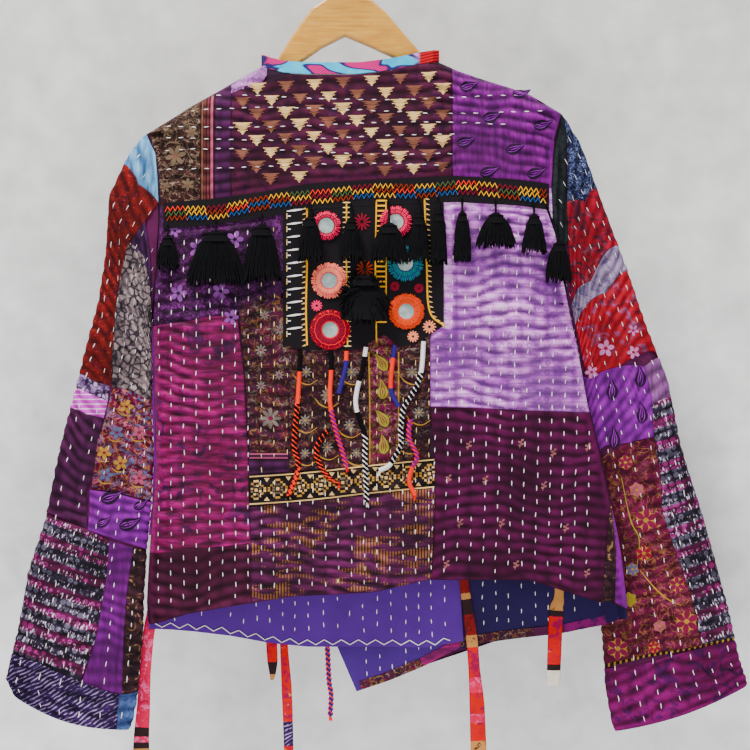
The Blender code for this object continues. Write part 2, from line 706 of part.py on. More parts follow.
def tassel_object(number, row, made_of):
    """A stem, a head, and locks that hang from its underside apart from each other."""
    left, right, head_top, bottom = row
    rng = np.random.default_rng(number)
    x, wide = (left + right) / 2, (right - left) / 2
    deep = min(8.0, 0.6 * wide)
    over_mirror = number - 1 in OVER_MIRROR
    behind = BEHIND_OVER_PATCH if over_mirror else BEHIND_TASSEL
    y = min(back_y(x, head_top), back_y(x, bottom)) - behind - deep
    pompom = number - 1 == POMPOM
    edge = min(max(x, TRIM_TOP[0][0] + 4), TRIM_TOP[-1][0] - 4)
    stem_top = head_top + POMPOM_STEM if pompom else trim_top(edge) - TRIM_HEIGHT + STEM_LAP
    stem_y = back_y(edge, stem_top) - 2 * SEAT - TRIM_THICK - STEM_RADIUS
    head_low = head_top - 9
    head_wide = 0.42 * wide + 1
    head_deep = min(deep, head_wide)
    sides = 6
    rings = (
        (edge, stem_y, stem_top, STEM_RADIUS, STEM_RADIUS),
        (x, y, head_top + 1.5, STEM_RADIUS, STEM_RADIUS),
        (x, y, head_top - 3, 0.3 * wide + 1, 0.3 * wide + 1),
        (x, y, head_low, head_wide, head_deep),
        (x, y, head_low - 0.5, 0.2 * wide + 0.5, min(0.5 * deep, 0.2 * wide + 0.5)),
    )
    shape = bmesh.new()
    loops = []
    for cx, cy, cz, rx, ry in rings:
        turns = [2 * math.pi * (k + 0.5) / sides for k in range(sides)]
        loops.append(
            [shape.verts.new(((cx + rx * math.cos(t)) * MM, (cy + ry * math.sin(t)) * MM, cz * MM)) for t in turns]
        )
    shape.faces.new(loops[0])
    roots = []
    for a, b in zip(loops[:-1], loops[1:]):
        for k in range(sides):
            n = (k + 1) % sides
            face = shape.faces.new((a[k], a[n], b[n], b[k]))
            if b is loops[-1]:
                roots.append(face)
    middle = shape.verts.new((x * MM, y * MM, (head_low - 0.5) * MM))
    roots += [shape.faces.new((loops[-1][k], loops[-1][(k + 1) % sides], middle)) for k in range(sides)]
    shape.normal_update()
    bmesh.ops.recalc_face_normals(shape, faces=shape.faces)
    thin = ROOT_PARTING * (0.2 * wide + 0.5)
    bmesh.ops.inset_individual(shape, faces=roots, thickness=thin * MM, use_even_offset=True)
    grown = bmesh.ops.extrude_discrete_faces(shape, faces=roots)["faces"]
    for face in grown:
        centre = face.calc_center_median()
        off_x, off_y = centre.x / MM - x, centre.y / MM - y
        spread = np.array((wide / head_wide, deep / head_deep, 0))
        end = np.array((x, y, bottom + rng.uniform(0, LOCK_JITTER))) + spread * (off_x, off_y, 0)
        for vert in face.verts:
            own = (np.array(vert.co) - np.array(centre)) / MM
            vert.co = (end + own * spread * LOCK_SWELL) * MM
    mesh = bpy.data.meshes.new(f"tassel_{number:02d}")
    bmesh.ops.recalc_face_normals(shape, faces=shape.faces)
    shape.to_mesh(mesh)
    shape.free()
    mesh.materials.append(made_of)
    made = bpy.data.objects.new(mesh.name, mesh)
    bpy.context.scene.collection.objects.link(made)


def braid_objects(made_of):
    for name, places in BRAIDS:
        route = curve_through([(x, 0, z) for x, z in places], 3 * BRAID_RADIUS * 2)
        for point in route:
            near = [back_y(point[0] + dx, point[2] + dz) for dx in (-4, 0, 4) for dz in (-8, 0, 8)]
            point[1] = min(near) - RIPPLE - SEAT - BRAID_RADIUS
        cord(name, route, BRAID_RADIUS, made_of)


def front_braid_object(made_of):
    route = [(x, RIGHT_FRONT_DEPTH - WALL / 2, z) for x, z in FRONT_BRAID]
    cord("braid_front", curve_through(route, 3 * BRAID_RADIUS * 2), BRAID_RADIUS, made_of)


# Neck, ties and hanger


def back_neck(x):
    return np.interp(x, *zip(*BACK_NECK))


def front_neck(x):
    start, end = BACK_NECK[0], BACK_NECK[-1]
    share = np.clip((x - start[0]) / (end[0] - start[0]), 0, 1)
    straight = start[1] + share * (end[1] - start[1])
    return straight - FRONT_NECK_DROP * np.sin(math.pi * share) ** 0.8


def binding_object(panels, made_of):
    """A band that stands on the neck edges, from one front's edge round the back to the other's."""
    back, left_front, right_front = panels
    path = []
    for panel, places in (
        (left_front, across((True, False), EDGE_TURNS, FRONT_COLUMNS)[::-1]),
        (back, across((True, True), EDGE_TURNS, BACK_COLUMNS)),
        (right_front, across((False, True), EDGE_TURNS, FRONT_COLUMNS)[::-1]),
    ):
        for place in places[1 if path else 0 :]:
            middle = panel.point(0, place, -WALL / 2)[0]
            middle[2] = panel.point(0, place)[0][2] + BINDING_GAP
            path.append(middle)
    path = np.array(path)
    flat = path[:, :2]
    along = np.gradient(flat, axis=0)
    along /= np.linalg.norm(along, axis=1)[:, None]
    side = np.stack([along[:, 1], -along[:, 0]], axis=1) * BINDING_THICK / 2
    rings = []
    for place, off in zip(path, side):
        low, high = place[2], place[2] + BINDING_HEIGHT
        rings.append(
            [
                (place[0] - off[0], place[1] - off[1], low),
                (place[0] + off[0], place[1] + off[1], low),
                (place[0] + off[0], place[1] + off[1], high),
                (place[0] - off[0], place[1] - off[1], high),
            ]
        )
    return strip_object("neck_binding", np.array(rings), made_of)


def strip_object(name, rings, made_of):
    faces = [tuple(range(4)), tuple(range(4 * len(rings) - 4, 4 * len(rings)))]
    for r in range(len(rings) - 1):
        for k in range(4):
            a, b = 4 * r + k, 4 * r + (k + 1) % 4
            faces.append((a, b, b + 4, a + 4))
    return mesh_object(name, rings.reshape(-1, 3), faces, made_of)


def tie_objects(made_of):
    for name, table in TIES:
        fine = curve_through([(x, y, z) for x, z, _, y in table], 15)
        heights = [-z for _, z, _, _ in table]
        half = np.interp(-fine[:, 2], heights, [w for _, _, w, _ in table])
        rings = []
        for n, ((x, y, z), w) in enumerate(zip(fine, half)):
            turn = 0.25 * math.sin(n * 0.8)
            a = np.array((w * math.cos(turn), w * math.sin(turn) * 0.3, 0))
            b = np.array((0, TIE_THICK / 2, 0))
            here = np.array((x, y, z))
            rings.append([here - a - b, here + a - b, here + a + b, here - a + b])
        strip_object(name, np.array(rings), made_of)


def hanger_objects(wood, steel):
    outline = [(0, HUMP_TOP), *HANGER_LEFT_TOP, *HANGER_LEFT_LOW, (0, HANGER_APEX)]
    outline += [*HANGER_RIGHT_LOW, *HANGER_RIGHT_TOP]
    half = HANGER_THICK / 2
    count = len(outline)
    points = [(x, -half, z) for x, z in outline] + [(x, half, z) for x, z in outline]
    faces = [tuple(range(count)), tuple(range(count, 2 * count))]
    faces += [(k, (k + 1) % count, count + (k + 1) % count, count + k) for k in range(count)]
    bar = mesh_object("hanger_bar", points, faces, wood)
    rounded = bar.modifiers.new("rounded edges", "BEVEL")
    rounded.width = HANGER_ROUND * MM
    rounded.segments = 2
    rounded.limit_method = "ANGLE"
    rounded.angle_limit = math.radians(60)
    radius = HOOK_INNER_RADIUS + HOOK_WIRE_RADIUS
    centre = -HOOK_INNER_RADIUS
    route = []
    for turn in np.radians(np.arange(200, -41, -20)):
        route.append((radius * math.cos(turn), 0.0, centre + radius * math.sin(turn)))
    route += [(7.0, 0.0, centre - 22.5), (1.0, 0.0, centre - 29.0), (0.0, 0.0, centre - 36.0)]
    route.append((0.0, 0.0, HUMP_TOP + GAP))
    cord("hanger_hook", curve_through(route, 6), HOOK_WIRE_RADIUS, steel, resolution=3)


def main():
    clear_scene()
    plum = material("plum patchwork", (0.16, 0.03, 0.08), *FABRIC_FINISH)
    violet = material("violet patchwork", (0.2, 0.05, 0.25), *FABRIC_FINISH)
    wine = material("wine patchwork", (0.2, 0.03, 0.05), *FABRIC_FINISH)
    print_blue = material("printed binding", (0.15, 0.5, 0.7), *FABRIC_FINISH)
    red_print = material("printed ties", (0.6, 0.05, 0.06), *FABRIC_FINISH)
    black = material("black cotton", (0.01, 0.01, 0.012), 0.9, 0.0)
    braid = material("braided yarn", (0.6, 0.12, 0.03), 0.9, 0.0)
    glass = material("mirror glass", (0.7, 0.75, 0.75), 0.08, 1.0)
    wood = material("varnished wood", (0.55, 0.32, 0.13), 0.4, 0.0)
    steel = material("steel wire", (0.6, 0.6, 0.62), 0.25, 1.0)
    threads = [
        material(f"rosette thread {n}", colour, 0.85, 0.0)
        for n, colour in enumerate(
            ((0.6, 0.1, 0.15), (0.7, 0.25, 0.2), (0.35, 0.03, 0.05), (0.6, 0.1, 0.2), (0.1, 0.4, 0.4), (0.6, 0.2, 0.06)),
            1,
        )
    ]

    back = Panel(-1, BACK_DEPTH, BACK_FOLDS, back_neck, 3, BACK_HEM)
    left_front = Panel(1, LEFT_FRONT_DEPTH, FRONT_FOLDS, front_neck, 7, LEFT_FRONT_HEM, right=LEFT_FRONT_EDGE)
    right_front = Panel(1, RIGHT_FRONT_DEPTH, FRONT_FOLDS, front_neck, 7, RIGHT_FRONT_HEM, left=RIGHT_FRONT_EDGE)
    panel_object("back", back, (True, True), BACK_COLUMNS, plum, calm_zone)
    panel_object("front_left", left_front, (True, False), FRONT_COLUMNS, violet)
    panel_object("front_right", right_front, (False, True), FRONT_COLUMNS, violet)
    sleeve_object("sleeve_left", "left", LEFT_SLEEVE, LEFT_CUFF_BOW, LEFT_SLEEVE_FOLDS, wine)
    sleeve_object("sleeve_right", "right", RIGHT_SLEEVE, RIGHT_CUFF_BOW, RIGHT_SLEEVE_FOLDS, wine)
    binding_object((back, left_front, right_front), print_blue)

    trim_object(black)
    mirror_panel_object(black)
    rosette_objects(threads, glass)
    for number, row in enumerate(TASSELS, 1):
        tassel_object(number, row, black)
    braid_objects(braid)
    front_braid_object(braid)
    tie_objects(red_print)
    hanger_objects(wood, steel)


main()
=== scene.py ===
import json
import math

import bpy
import numpy as np
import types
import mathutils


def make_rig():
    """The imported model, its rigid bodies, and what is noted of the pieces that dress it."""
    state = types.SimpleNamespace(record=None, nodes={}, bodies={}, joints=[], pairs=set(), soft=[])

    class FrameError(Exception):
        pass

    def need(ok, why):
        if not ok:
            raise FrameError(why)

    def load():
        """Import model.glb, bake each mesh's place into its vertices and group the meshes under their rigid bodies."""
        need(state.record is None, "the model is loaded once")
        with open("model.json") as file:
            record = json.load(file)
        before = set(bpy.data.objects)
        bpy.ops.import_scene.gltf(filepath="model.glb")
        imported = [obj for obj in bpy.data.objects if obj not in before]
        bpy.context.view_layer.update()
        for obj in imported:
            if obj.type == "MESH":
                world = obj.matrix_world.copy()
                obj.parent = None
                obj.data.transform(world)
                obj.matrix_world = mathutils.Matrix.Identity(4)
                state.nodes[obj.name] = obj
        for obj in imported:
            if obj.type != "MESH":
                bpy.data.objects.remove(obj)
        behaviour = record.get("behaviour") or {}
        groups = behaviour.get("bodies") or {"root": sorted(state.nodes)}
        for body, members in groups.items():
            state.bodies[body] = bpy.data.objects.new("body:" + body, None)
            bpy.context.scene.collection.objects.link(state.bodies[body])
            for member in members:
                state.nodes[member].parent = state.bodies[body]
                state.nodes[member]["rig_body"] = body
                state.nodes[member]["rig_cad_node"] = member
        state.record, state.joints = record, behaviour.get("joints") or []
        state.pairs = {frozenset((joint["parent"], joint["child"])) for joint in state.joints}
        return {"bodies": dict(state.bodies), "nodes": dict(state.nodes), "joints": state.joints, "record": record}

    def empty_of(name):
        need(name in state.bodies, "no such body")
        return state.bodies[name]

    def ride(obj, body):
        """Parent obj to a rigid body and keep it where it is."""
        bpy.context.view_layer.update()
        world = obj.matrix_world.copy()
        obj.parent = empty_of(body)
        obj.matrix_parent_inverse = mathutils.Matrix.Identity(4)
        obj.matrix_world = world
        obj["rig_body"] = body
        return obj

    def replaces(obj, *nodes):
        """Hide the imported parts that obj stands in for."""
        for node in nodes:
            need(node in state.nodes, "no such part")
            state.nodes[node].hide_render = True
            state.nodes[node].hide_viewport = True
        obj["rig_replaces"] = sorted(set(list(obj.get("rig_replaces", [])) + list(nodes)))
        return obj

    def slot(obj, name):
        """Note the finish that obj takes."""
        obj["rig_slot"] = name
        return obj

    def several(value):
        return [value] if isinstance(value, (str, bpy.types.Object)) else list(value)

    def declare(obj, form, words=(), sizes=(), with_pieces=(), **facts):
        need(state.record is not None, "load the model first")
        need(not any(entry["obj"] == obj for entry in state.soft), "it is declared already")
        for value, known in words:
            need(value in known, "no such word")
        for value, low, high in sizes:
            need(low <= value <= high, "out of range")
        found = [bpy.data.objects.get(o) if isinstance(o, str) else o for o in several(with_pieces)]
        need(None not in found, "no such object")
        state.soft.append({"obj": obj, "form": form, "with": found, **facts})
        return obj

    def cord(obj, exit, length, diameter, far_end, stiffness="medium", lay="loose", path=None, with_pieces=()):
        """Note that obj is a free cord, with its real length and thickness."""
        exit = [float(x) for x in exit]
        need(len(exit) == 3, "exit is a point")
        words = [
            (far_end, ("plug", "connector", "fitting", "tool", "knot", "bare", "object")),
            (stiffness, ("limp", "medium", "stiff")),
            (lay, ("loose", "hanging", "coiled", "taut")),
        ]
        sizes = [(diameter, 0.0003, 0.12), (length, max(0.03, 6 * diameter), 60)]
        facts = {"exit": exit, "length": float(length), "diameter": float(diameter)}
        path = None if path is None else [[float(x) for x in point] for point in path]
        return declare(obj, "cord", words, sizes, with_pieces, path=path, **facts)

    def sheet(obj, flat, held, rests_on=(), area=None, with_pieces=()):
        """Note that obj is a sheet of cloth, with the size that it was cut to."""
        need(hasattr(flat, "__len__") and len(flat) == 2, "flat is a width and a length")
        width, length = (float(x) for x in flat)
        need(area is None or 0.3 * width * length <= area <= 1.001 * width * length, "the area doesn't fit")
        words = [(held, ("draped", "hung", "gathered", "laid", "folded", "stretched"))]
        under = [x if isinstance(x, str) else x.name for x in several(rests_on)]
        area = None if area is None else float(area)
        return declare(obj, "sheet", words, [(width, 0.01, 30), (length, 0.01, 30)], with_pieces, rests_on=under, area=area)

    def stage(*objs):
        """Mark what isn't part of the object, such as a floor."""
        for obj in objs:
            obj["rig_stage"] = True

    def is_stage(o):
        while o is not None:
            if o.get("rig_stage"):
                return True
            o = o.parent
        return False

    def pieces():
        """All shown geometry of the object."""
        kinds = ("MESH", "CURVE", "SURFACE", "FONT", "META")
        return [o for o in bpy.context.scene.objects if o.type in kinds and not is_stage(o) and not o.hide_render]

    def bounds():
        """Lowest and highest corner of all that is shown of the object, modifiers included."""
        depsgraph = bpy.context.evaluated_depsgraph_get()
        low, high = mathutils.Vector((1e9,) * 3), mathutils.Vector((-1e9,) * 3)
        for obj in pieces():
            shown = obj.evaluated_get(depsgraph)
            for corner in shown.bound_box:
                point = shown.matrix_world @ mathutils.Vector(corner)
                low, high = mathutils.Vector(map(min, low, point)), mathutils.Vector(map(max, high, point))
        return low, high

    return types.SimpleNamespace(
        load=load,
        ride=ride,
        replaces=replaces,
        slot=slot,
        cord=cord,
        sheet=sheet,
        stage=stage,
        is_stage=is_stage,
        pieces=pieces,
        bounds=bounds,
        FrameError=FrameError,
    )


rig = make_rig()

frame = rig.load()
startBounds = [[float(v) for v in corner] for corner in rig.bounds()]
nodes = frame["nodes"]
mm = 0.001


# Camera and light


def makeCamera():
    values = {"place": (0.0315, -1.9, -0.467), "lens": 86.9}
    data = bpy.data.cameras.new("camera")
    data.lens = values["lens"]
    camera = bpy.data.objects.new("camera", data)
    camera.location = values["place"]
    camera.rotation_euler = (math.pi / 2, 0, 0)
    bpy.context.scene.collection.objects.link(camera)
    bpy.context.scene.camera = camera


def areaLight(name, place, aim, size, watts, colour=(1, 1, 1)):
    data = bpy.data.lights.new(name, "AREA")
    data.shape = "DISK"
    data.size = size
    data.energy = watts
    data.color = colour
    lamp = bpy.data.objects.new(name, data)
    lamp.location = place
    away = np.array(place) - np.array(aim)
    flat = math.hypot(away[0], away[1])
    lamp.rotation_euler = (math.atan2(flat, away[2]), 0, math.atan2(away[0], -away[1]))
    bpy.context.scene.collection.objects.link(lamp)


def makeLights():
    values = {"key": 60, "fill": 9, "low": 27, "top": 13, "world": 0.5}
    aim = (0.03, 0, -0.45)
    areaLight("key", (-0.6, -0.85, 1.3), aim, 0.6, values["key"], (1.0, 0.98, 0.96))
    areaLight("fill", (1.6, -1.6, -0.2), aim, 1.4, values["fill"], (0.95, 0.97, 1.0))
    areaLight("low", (0.1, -1.7, -1.5), (0.03, 0.1, -0.7), 1.2, values["low"])
    areaLight("top", (0.2, -0.5, 1.3), aim, 0.8, values["top"])
    world = bpy.data.worlds.new("studio")
    world.use_nodes = True
    world.node_tree.nodes["Background"].inputs[0].default_value = (0.9, 0.93, 1.0, 1)
    world.node_tree.nodes["Background"].inputs[1].default_value = values["world"]
    bpy.context.scene.world = world


# Shader maths


richness = {"saturation": 1.3, "depth": 0.92}


# Linear colour from 0 to 255 values, made deeper for the studio's soft light.
def srgb(colour):
    c = np.array(colour, float) / 255
    line = np.where(c <= 0.04045, c / 12.92, ((c + 0.055) / 1.055) ** 2.4)
    grey = float(line @ (0.21, 0.72, 0.07))
    deep = np.clip(grey + (line - grey) * richness["saturation"], 0.0006, 1) * richness["depth"]
    return (*[float(v) for v in deep], 1.0)


# An output socket that takes part in sums.
class Wire:
    def __init__(self, tree, socket):
        self.tree, self.socket = tree, socket

    def math(self, operation, *others):
        return build(self.tree, "ShaderNodeMath", {"operation": operation}, dict(enumerate([self, *others])))

    def __add__(self, other):
        return self.math("ADD", other)

    __radd__ = __add__

    def __sub__(self, other):
        return self.math("SUBTRACT", other)

    def __rsub__(self, other):
        return (self * -1) + other

    def __mul__(self, other):
        return self.math("MULTIPLY", other)

    __rmul__ = __mul__

    def __truediv__(self, other):
        return self.math("DIVIDE", other)

    def sin(self):
        return self.math("SINE")

    # 0 below low and 1 above high, soft between.
    def step(self, low, high):
        return ((self - low) / (high - low)).math("MINIMUM", 1.0).math("MAXIMUM", 0.0)


def build(tree, kind, settings, inputs, output=0):
    node = tree.nodes.new(kind)
    for key, value in settings.items():
        setattr(node, key, value)
    for key, value in inputs.items():
        if isinstance(value, Wire):
            tree.links.new(value.socket, node.inputs[key])
        else:
            node.inputs[key].default_value = value
    return Wire(tree, node.outputs[output])


def mix(tree, share, a, b, blend="MIX"):
    settings = {"data_type": "RGBA", "blend_type": blend, "clamp_factor": True}
    return build(tree, "ShaderNodeMix", settings, {0: share, 6: a, 7: b}, 2)


# A node tree with places in millimetres, and patterns that patches are made of.
class Cloth:
    def __init__(self, name, rough=0.8, metallic=0.0):
        self.material = bpy.data.materials.new(name)
        self.material.use_nodes = True
        self.tree = self.material.node_tree
        self.shader = self.tree.nodes["Principled BSDF"]
        self.shader.inputs["Roughness"].default_value = rough
        self.shader.inputs["Metallic"].default_value = metallic
        shine = 0.5 if rough < 0.4 else 0.14 if rough > 0.55 else 0.3
        self.shader.inputs["Specular IOR Level"].default_value = shine
        place = self.make("ShaderNodeTexCoord", {}, {}, 3)
        self.place = self.make("ShaderNodeVectorMath", {"operation": "SCALE"}, {0: place, 3: 1000.0})
        self.x, self.y, self.z = [self.part(self.place, axis) for axis in range(3)]

    def make(self, kind, settings, inputs, output=0):
        return build(self.tree, kind, settings, inputs, output)

    def part(self, vector, axis):
        return self.make("ShaderNodeSeparateXYZ", {}, {0: vector}, axis)

    # Place with another scale along each axis.
    def moved(self, x, y, z, place=None):
        return self.make("ShaderNodeVectorMath", {"operation": "MULTIPLY"}, {0: place or self.place, 1: (x, y, z)})

    # Place turned in the plane of the picture.
    def turned(self, angle):
        inputs = {"Vector": self.place, "Angle": angle}
        return self.make("ShaderNodeVectorRotate", {"rotation_type": "Y_AXIS"}, inputs)

    # How low the cloth lies between two ridges of the quilting.
    def valley(self):
        return self.make("ShaderNodeAttribute", {"attribute_name": "valley"}, {}, 2)

    def noise(self, size, detail=3.0, rough=0.55, place=None, twist=0.0):
        inputs = {"Vector": place or self.place, "Scale": 1 / size, "Detail": detail, "Roughness": rough}
        inputs["Distortion"] = twist
        return self.make("ShaderNodeTexNoise", {}, inputs)

    def cells(self, size, feature, place, randomness=1.0):
        inputs = {"Vector": place, "Scale": 1 / size, "Randomness": randomness}
        return self.make("ShaderNodeTexVoronoi", {"feature": feature}, inputs)

    # 0 to 1 and back once in each period.
    def wave(self, value, period):
        return (value * (2 * math.pi / period)).sin() * 0.5 + 0.5

    def mix(self, share, a, b, blend="MIX"):
        return mix(self.tree, share, a, b, blend)

    def two(self, share, low, high, a, b):
        a, b = [srgb(tone) if isinstance(tone, tuple) else tone for tone in (a, b)]
        return self.mix(share.step(low, high), a, b)

    # Fine threads, small uneven tones, painted shade in the quilting's valleys and a little relief go on every cloth.
    def finish(self, colour, weave=0.12, bump=0.25, sheen=0.0):
        threads = self.wave(self.x + self.y, 1.1) * self.wave(self.z, 1.1)
        fine = self.noise(1.6, 4.0, 0.7)
        broad = self.noise(34, 2.0)
        tone = (fine - 0.5) * (2.4 * weave) + (broad - 0.5) * 0.5 + (threads - 0.25) * (0.5 * weave) + 1.0
        # Painted shade: the lower a point lies between the quilting's ridges, or on a seam, the darker and deeper its
        # colour.
        low = self.valley().step(0.3, 1.0)
        tone = tone * (1.1 - low * 0.35)
        colour = self.mix(low * 0.75, colour, self.mix(1.0, colour, colour, "MULTIPLY"))
        grey = self.make("ShaderNodeCombineXYZ", {}, {0: tone, 1: tone, 2: tone})
        colour = self.mix(1.0, colour, grey, "MULTIPLY")
        self.tree.links.new(colour.socket, self.shader.inputs["Base Color"])
        height = fine * 0.6 + threads * 0.5
        relief = self.make("ShaderNodeBump", {}, {"Strength": bump, "Distance": 0.0006, "Height": height})
        self.tree.links.new(relief.socket, self.shader.inputs["Normal"])
        self.shader.inputs["Sheen Weight"].default_value = sheen
        return self.material


# Meshes


def meshObject(name, points, faces, materials, index=None):
    mesh = bpy.data.meshes.new(name)
    mesh.from_pydata((np.asarray(points, float) * mm).tolist(), [], [list(face) for face in faces])
    for one in materials:
        mesh.materials.append(one)
    if index is not None:
        mesh.polygons.foreach_set("material_index", np.asarray(index, np.int32))
    mesh.polygons.foreach_set("use_smooth", np.ones(len(mesh.polygons), bool))
    mesh.update()
    made = bpy.data.objects.new(name, mesh)
    bpy.context.scene.collection.objects.link(made)
    return made


# Points and faces of many small parts that become one piece, with a material for each colour.
class Gather:
    def __init__(self):
        self.points, self.faces, self.index, self.materials, self.count = [], [], [], [], 0
        self.valleys = []

    def slotOf(self, material):
        if material not in self.materials:
            self.materials.append(material)
        return self.materials.index(material)

    # Valley says how low each point lies between two ridges of the quilting.
    def add(self, points, faces, material, valley=None):
        points = np.asarray(points, float)
        self.points.append(points)
        self.valleys.append(np.zeros(len(points)) if valley is None else np.asarray(valley, float).reshape(-1))
        rows = faces.tolist() if isinstance(faces, np.ndarray) else faces
        self.faces += [[n + self.count for n in face] for face in rows]
        self.index += [self.slotOf(material)] * len(faces)
        self.count += len(points)

    def piece(self, name, slot, replaced=()):
        made = meshObject(name, np.concatenate(self.points), self.faces, self.materials, self.index)
        low = made.data.attributes.new("valley", "FLOAT", "POINT")
        low.data.foreach_set("value", np.concatenate(self.valleys).astype(np.float32))
        return settle(made, slot, replaced)


def settle(made, slot, replaced=()):
    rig.ride(made, "root")
    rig.slot(made, slot)
    if replaced:
        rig.replaces(made, *replaced)
    return made


def gridFaces(rows, columns, closed=False):
    r, c = np.meshgrid(np.arange(rows - 1), np.arange(columns if closed else columns - 1), indexing="ij")
    a = r * columns + c
    b = r * columns + (c + 1) % columns
    return np.stack([a, b, b + columns, a + columns], axis=-1).reshape(-1, 4)


# Rings round a line, and its faces. squash flattens it towards the camera.
def tube(points, radii, sides=6, squash=1.0):
    p = np.asarray(points, float)
    along = np.gradient(p, axis=0)
    along /= np.linalg.norm(along, axis=1)[:, None] + 1e-9
    side = np.cross(along, (0, 1, 0))
    side /= np.linalg.norm(side, axis=1)[:, None] + 1e-9
    up = np.cross(side, along)
    turns = np.arange(sides) * 2 * math.pi / sides
    radii = np.broadcast_to(radii, (len(p),))
    rings = p[:, None] + radii[:, None, None] * (
        np.cos(turns)[None, :, None] * side[:, None] + squash * np.sin(turns)[None, :, None] * up[:, None]
    )
    faces = gridFaces(len(p), sides, True).tolist()
    last = (len(p) - 1) * sides
    points = np.concatenate([rings.reshape(-1, 3), p[:1], p[-1:]])
    tip = len(points)
    caps = [(k, (k + 1) % sides, tip - 2, tip - 2) for k in range(sides)]
    caps += [(last + (k + 1) % sides, last + k, tip - 1, tip - 1) for k in range(sides)]
    return points, [f[:3] if f[2] == f[3] else f for f in map(tuple, faces + caps)]


# Points about step apart on a smooth curve through the given ones.
def through(points, step):
    p = np.asarray(points, float)
    ends = np.vstack([2 * p[0] - p[1], p, 2 * p[-1] - p[-2]])
    fine = []
    t = np.linspace(0, 1, 12, endpoint=False)[:, None]
    for k in range(1, len(ends) - 2):
        a, b, c, d = ends[k - 1 : k + 3]
        square, cube = 2 * a - 5 * b + 4 * c - d, 3 * b - a - 3 * c + d
        fine.append(0.5 * (2 * b + (c - a) * t + square * t**2 + cube * t**3))
    fine = np.concatenate([*fine, p[-1:]])
    run = np.concatenate([[0], np.cumsum(np.linalg.norm(np.diff(fine, axis=0), axis=1))])
    at = np.linspace(0, run[-1], max(3, round(run[-1] / step) + 1))
    return np.stack([np.interp(at, run, fine[:, k]) for k in range(fine.shape[1])], axis=1)


# Surfaces of the garment, the same as those of its solids

sections = {
    "leftX": (-87, -104, -121, -142, -164, -187, -208, -198, -195, -194, -195, -198, -202, -200, -200, -198, -201,
        -205, -208, -206),
    "leftZ": (-143, -153, -163, -175, -187, -202, -214, -235, -262, -288, -326, -362, -399, -446, -494, -558, -600,
        -650, -704, -728),
    "rightX": (98, 112, 136, 149, 174, 194, 227, 219, 216, 217, 223, 229, 235, 244, 253, 267, 277, 284, 290, 295),
    "rightZ": (-139, -146, -154, -159, -166, -173, -193, -232, -270, -307, -336, -368, -397, -441, -494, -551, -598,
        -630, -667, -711),
    "seamY": (0, 0, 0, 0, 0, 0, 0, 0, 0, 0, 0, 0, 0, -6, -9, -11, -12, -13, -14, -14),
}
sections = {key: np.array(row, float) for key, row in sections.items()}
tipRow, armpitRow = 6, 12
depths = {"back": 18, "left": 14, "right": 18.5}
backFolds = (
    (-150, -500, -120, -700, 22, 2.5), (-40, -520, -25, -690, 18, -2.0), (70, -560, 95, -680, 20, 2.5),
    (150, -480, 185, -670, 24, -2.5), (225, -470, 250, -690, 20, 2.0), (-185, -300, -120, -390, 18, 2.0),
    (205, -300, 150, -400, 20, 2.0),
)
frontFolds = (
    (-150, -520, -130, -730, 24, -2.0), (-60, -560, -75, -740, 20, 1.5), (180, -500, 205, -730, 24, -2.5),
    (-150, -330, -90, -420, 20, -2.0), (200, -330, 130, -430, 20, -2.5),
)
leftSleeveTable = np.array((
    (-208, -214, -202, -399, 0, 10), (-227, -238, -203, -415, 0, 10), (-247, -281, -203, -430, 0, 10),
    (-250, -340, -203, -450, 0, 10), (-258, -395, -203, -478, 0, 9.5), (-272, -445, -204, -512, 0, 9),
    (-286, -503, -202, -550, 0, 9), (-300, -556, -205, -600, 0, 9), (-312, -618, -210, -650, 0, 9),
    (-330, -673, -213, -704, 0, 9), (-342, -738, -215, -750, 0, 9), (-354, -786, -219, -800, 0, 8.5),
    (-345, -805, -227, -839, 0, 8),
), float)
rightSleeveTable = np.array((
    (227, -193, 235, -397, 0, 10), (248, -228, 238, -415, 5, 10), (262, -264, 241, -432, 8, 10),
    (280, -313, 244, -455, 10, 10), (299, -365, 246, -482, 11, 9.5), (317, -418, 250, -515, 12, 9),
    (339, -472, 254, -553, 14, 8.5), (352, -537, 259, -598, 16, 8), (373, -605, 265, -650, 18, 8),
    (390, -662, 270, -700, 20, 8), (404, -715, 275, -748, 20, 8), (416, -769, 277, -795, 19, 8),
    (425, -796, 286, -844, 18, 8),
), float)
leftSleeveFolds = (
    (-255, -400, -210, -470, 12, 2.5), (-262, -450, -212, -540, 10, 2.5), (-300, -620, -225, -600, 12, 2.0),
    (-213, -520, -222, -660, 9, 2.5), (-330, -700, -250, -740, 14, -2.0),
)
rightSleeveFolds = (
    (300, -390, 262, -470, 12, 2.5), (330, -470, 275, -540, 12, 2.0), (375, -620, 300, -600, 14, 2.5),
    (350, -640, 365, -780, 14, -2.0), (390, -700, 330, -740, 12, 2.0),
)
trimTop = ((-190, -288), (-136, -284), (-86, -277), (-36, -268), (32, -264), (113, -260), (182, -264), (214, -268))
mirrorBottom = ((-64, -436), (-42, -441), (13, -441), (22, -436), (41, -425), (58, -438), (74, -435), (103, -416))


def lineAt(x, table):
    return np.interp(x, *zip(*table))


def ease(t):
    t = np.clip(t, 0, 1)
    return t * t * (3 - 2 * t)


def edgeX(side, z):
    return np.interp(-np.asarray(z, float), -sections[side + "Z"], sections[side + "X"])


def armholeDepth(side, z):
    high, low = sections[side + "Z"][tipRow], sections[side + "Z"][armpitRow]
    down = np.clip((high - z) / (high - low), 0, 1)
    return 10 * (2 * np.sqrt(down * (1 - down))) ** 0.7


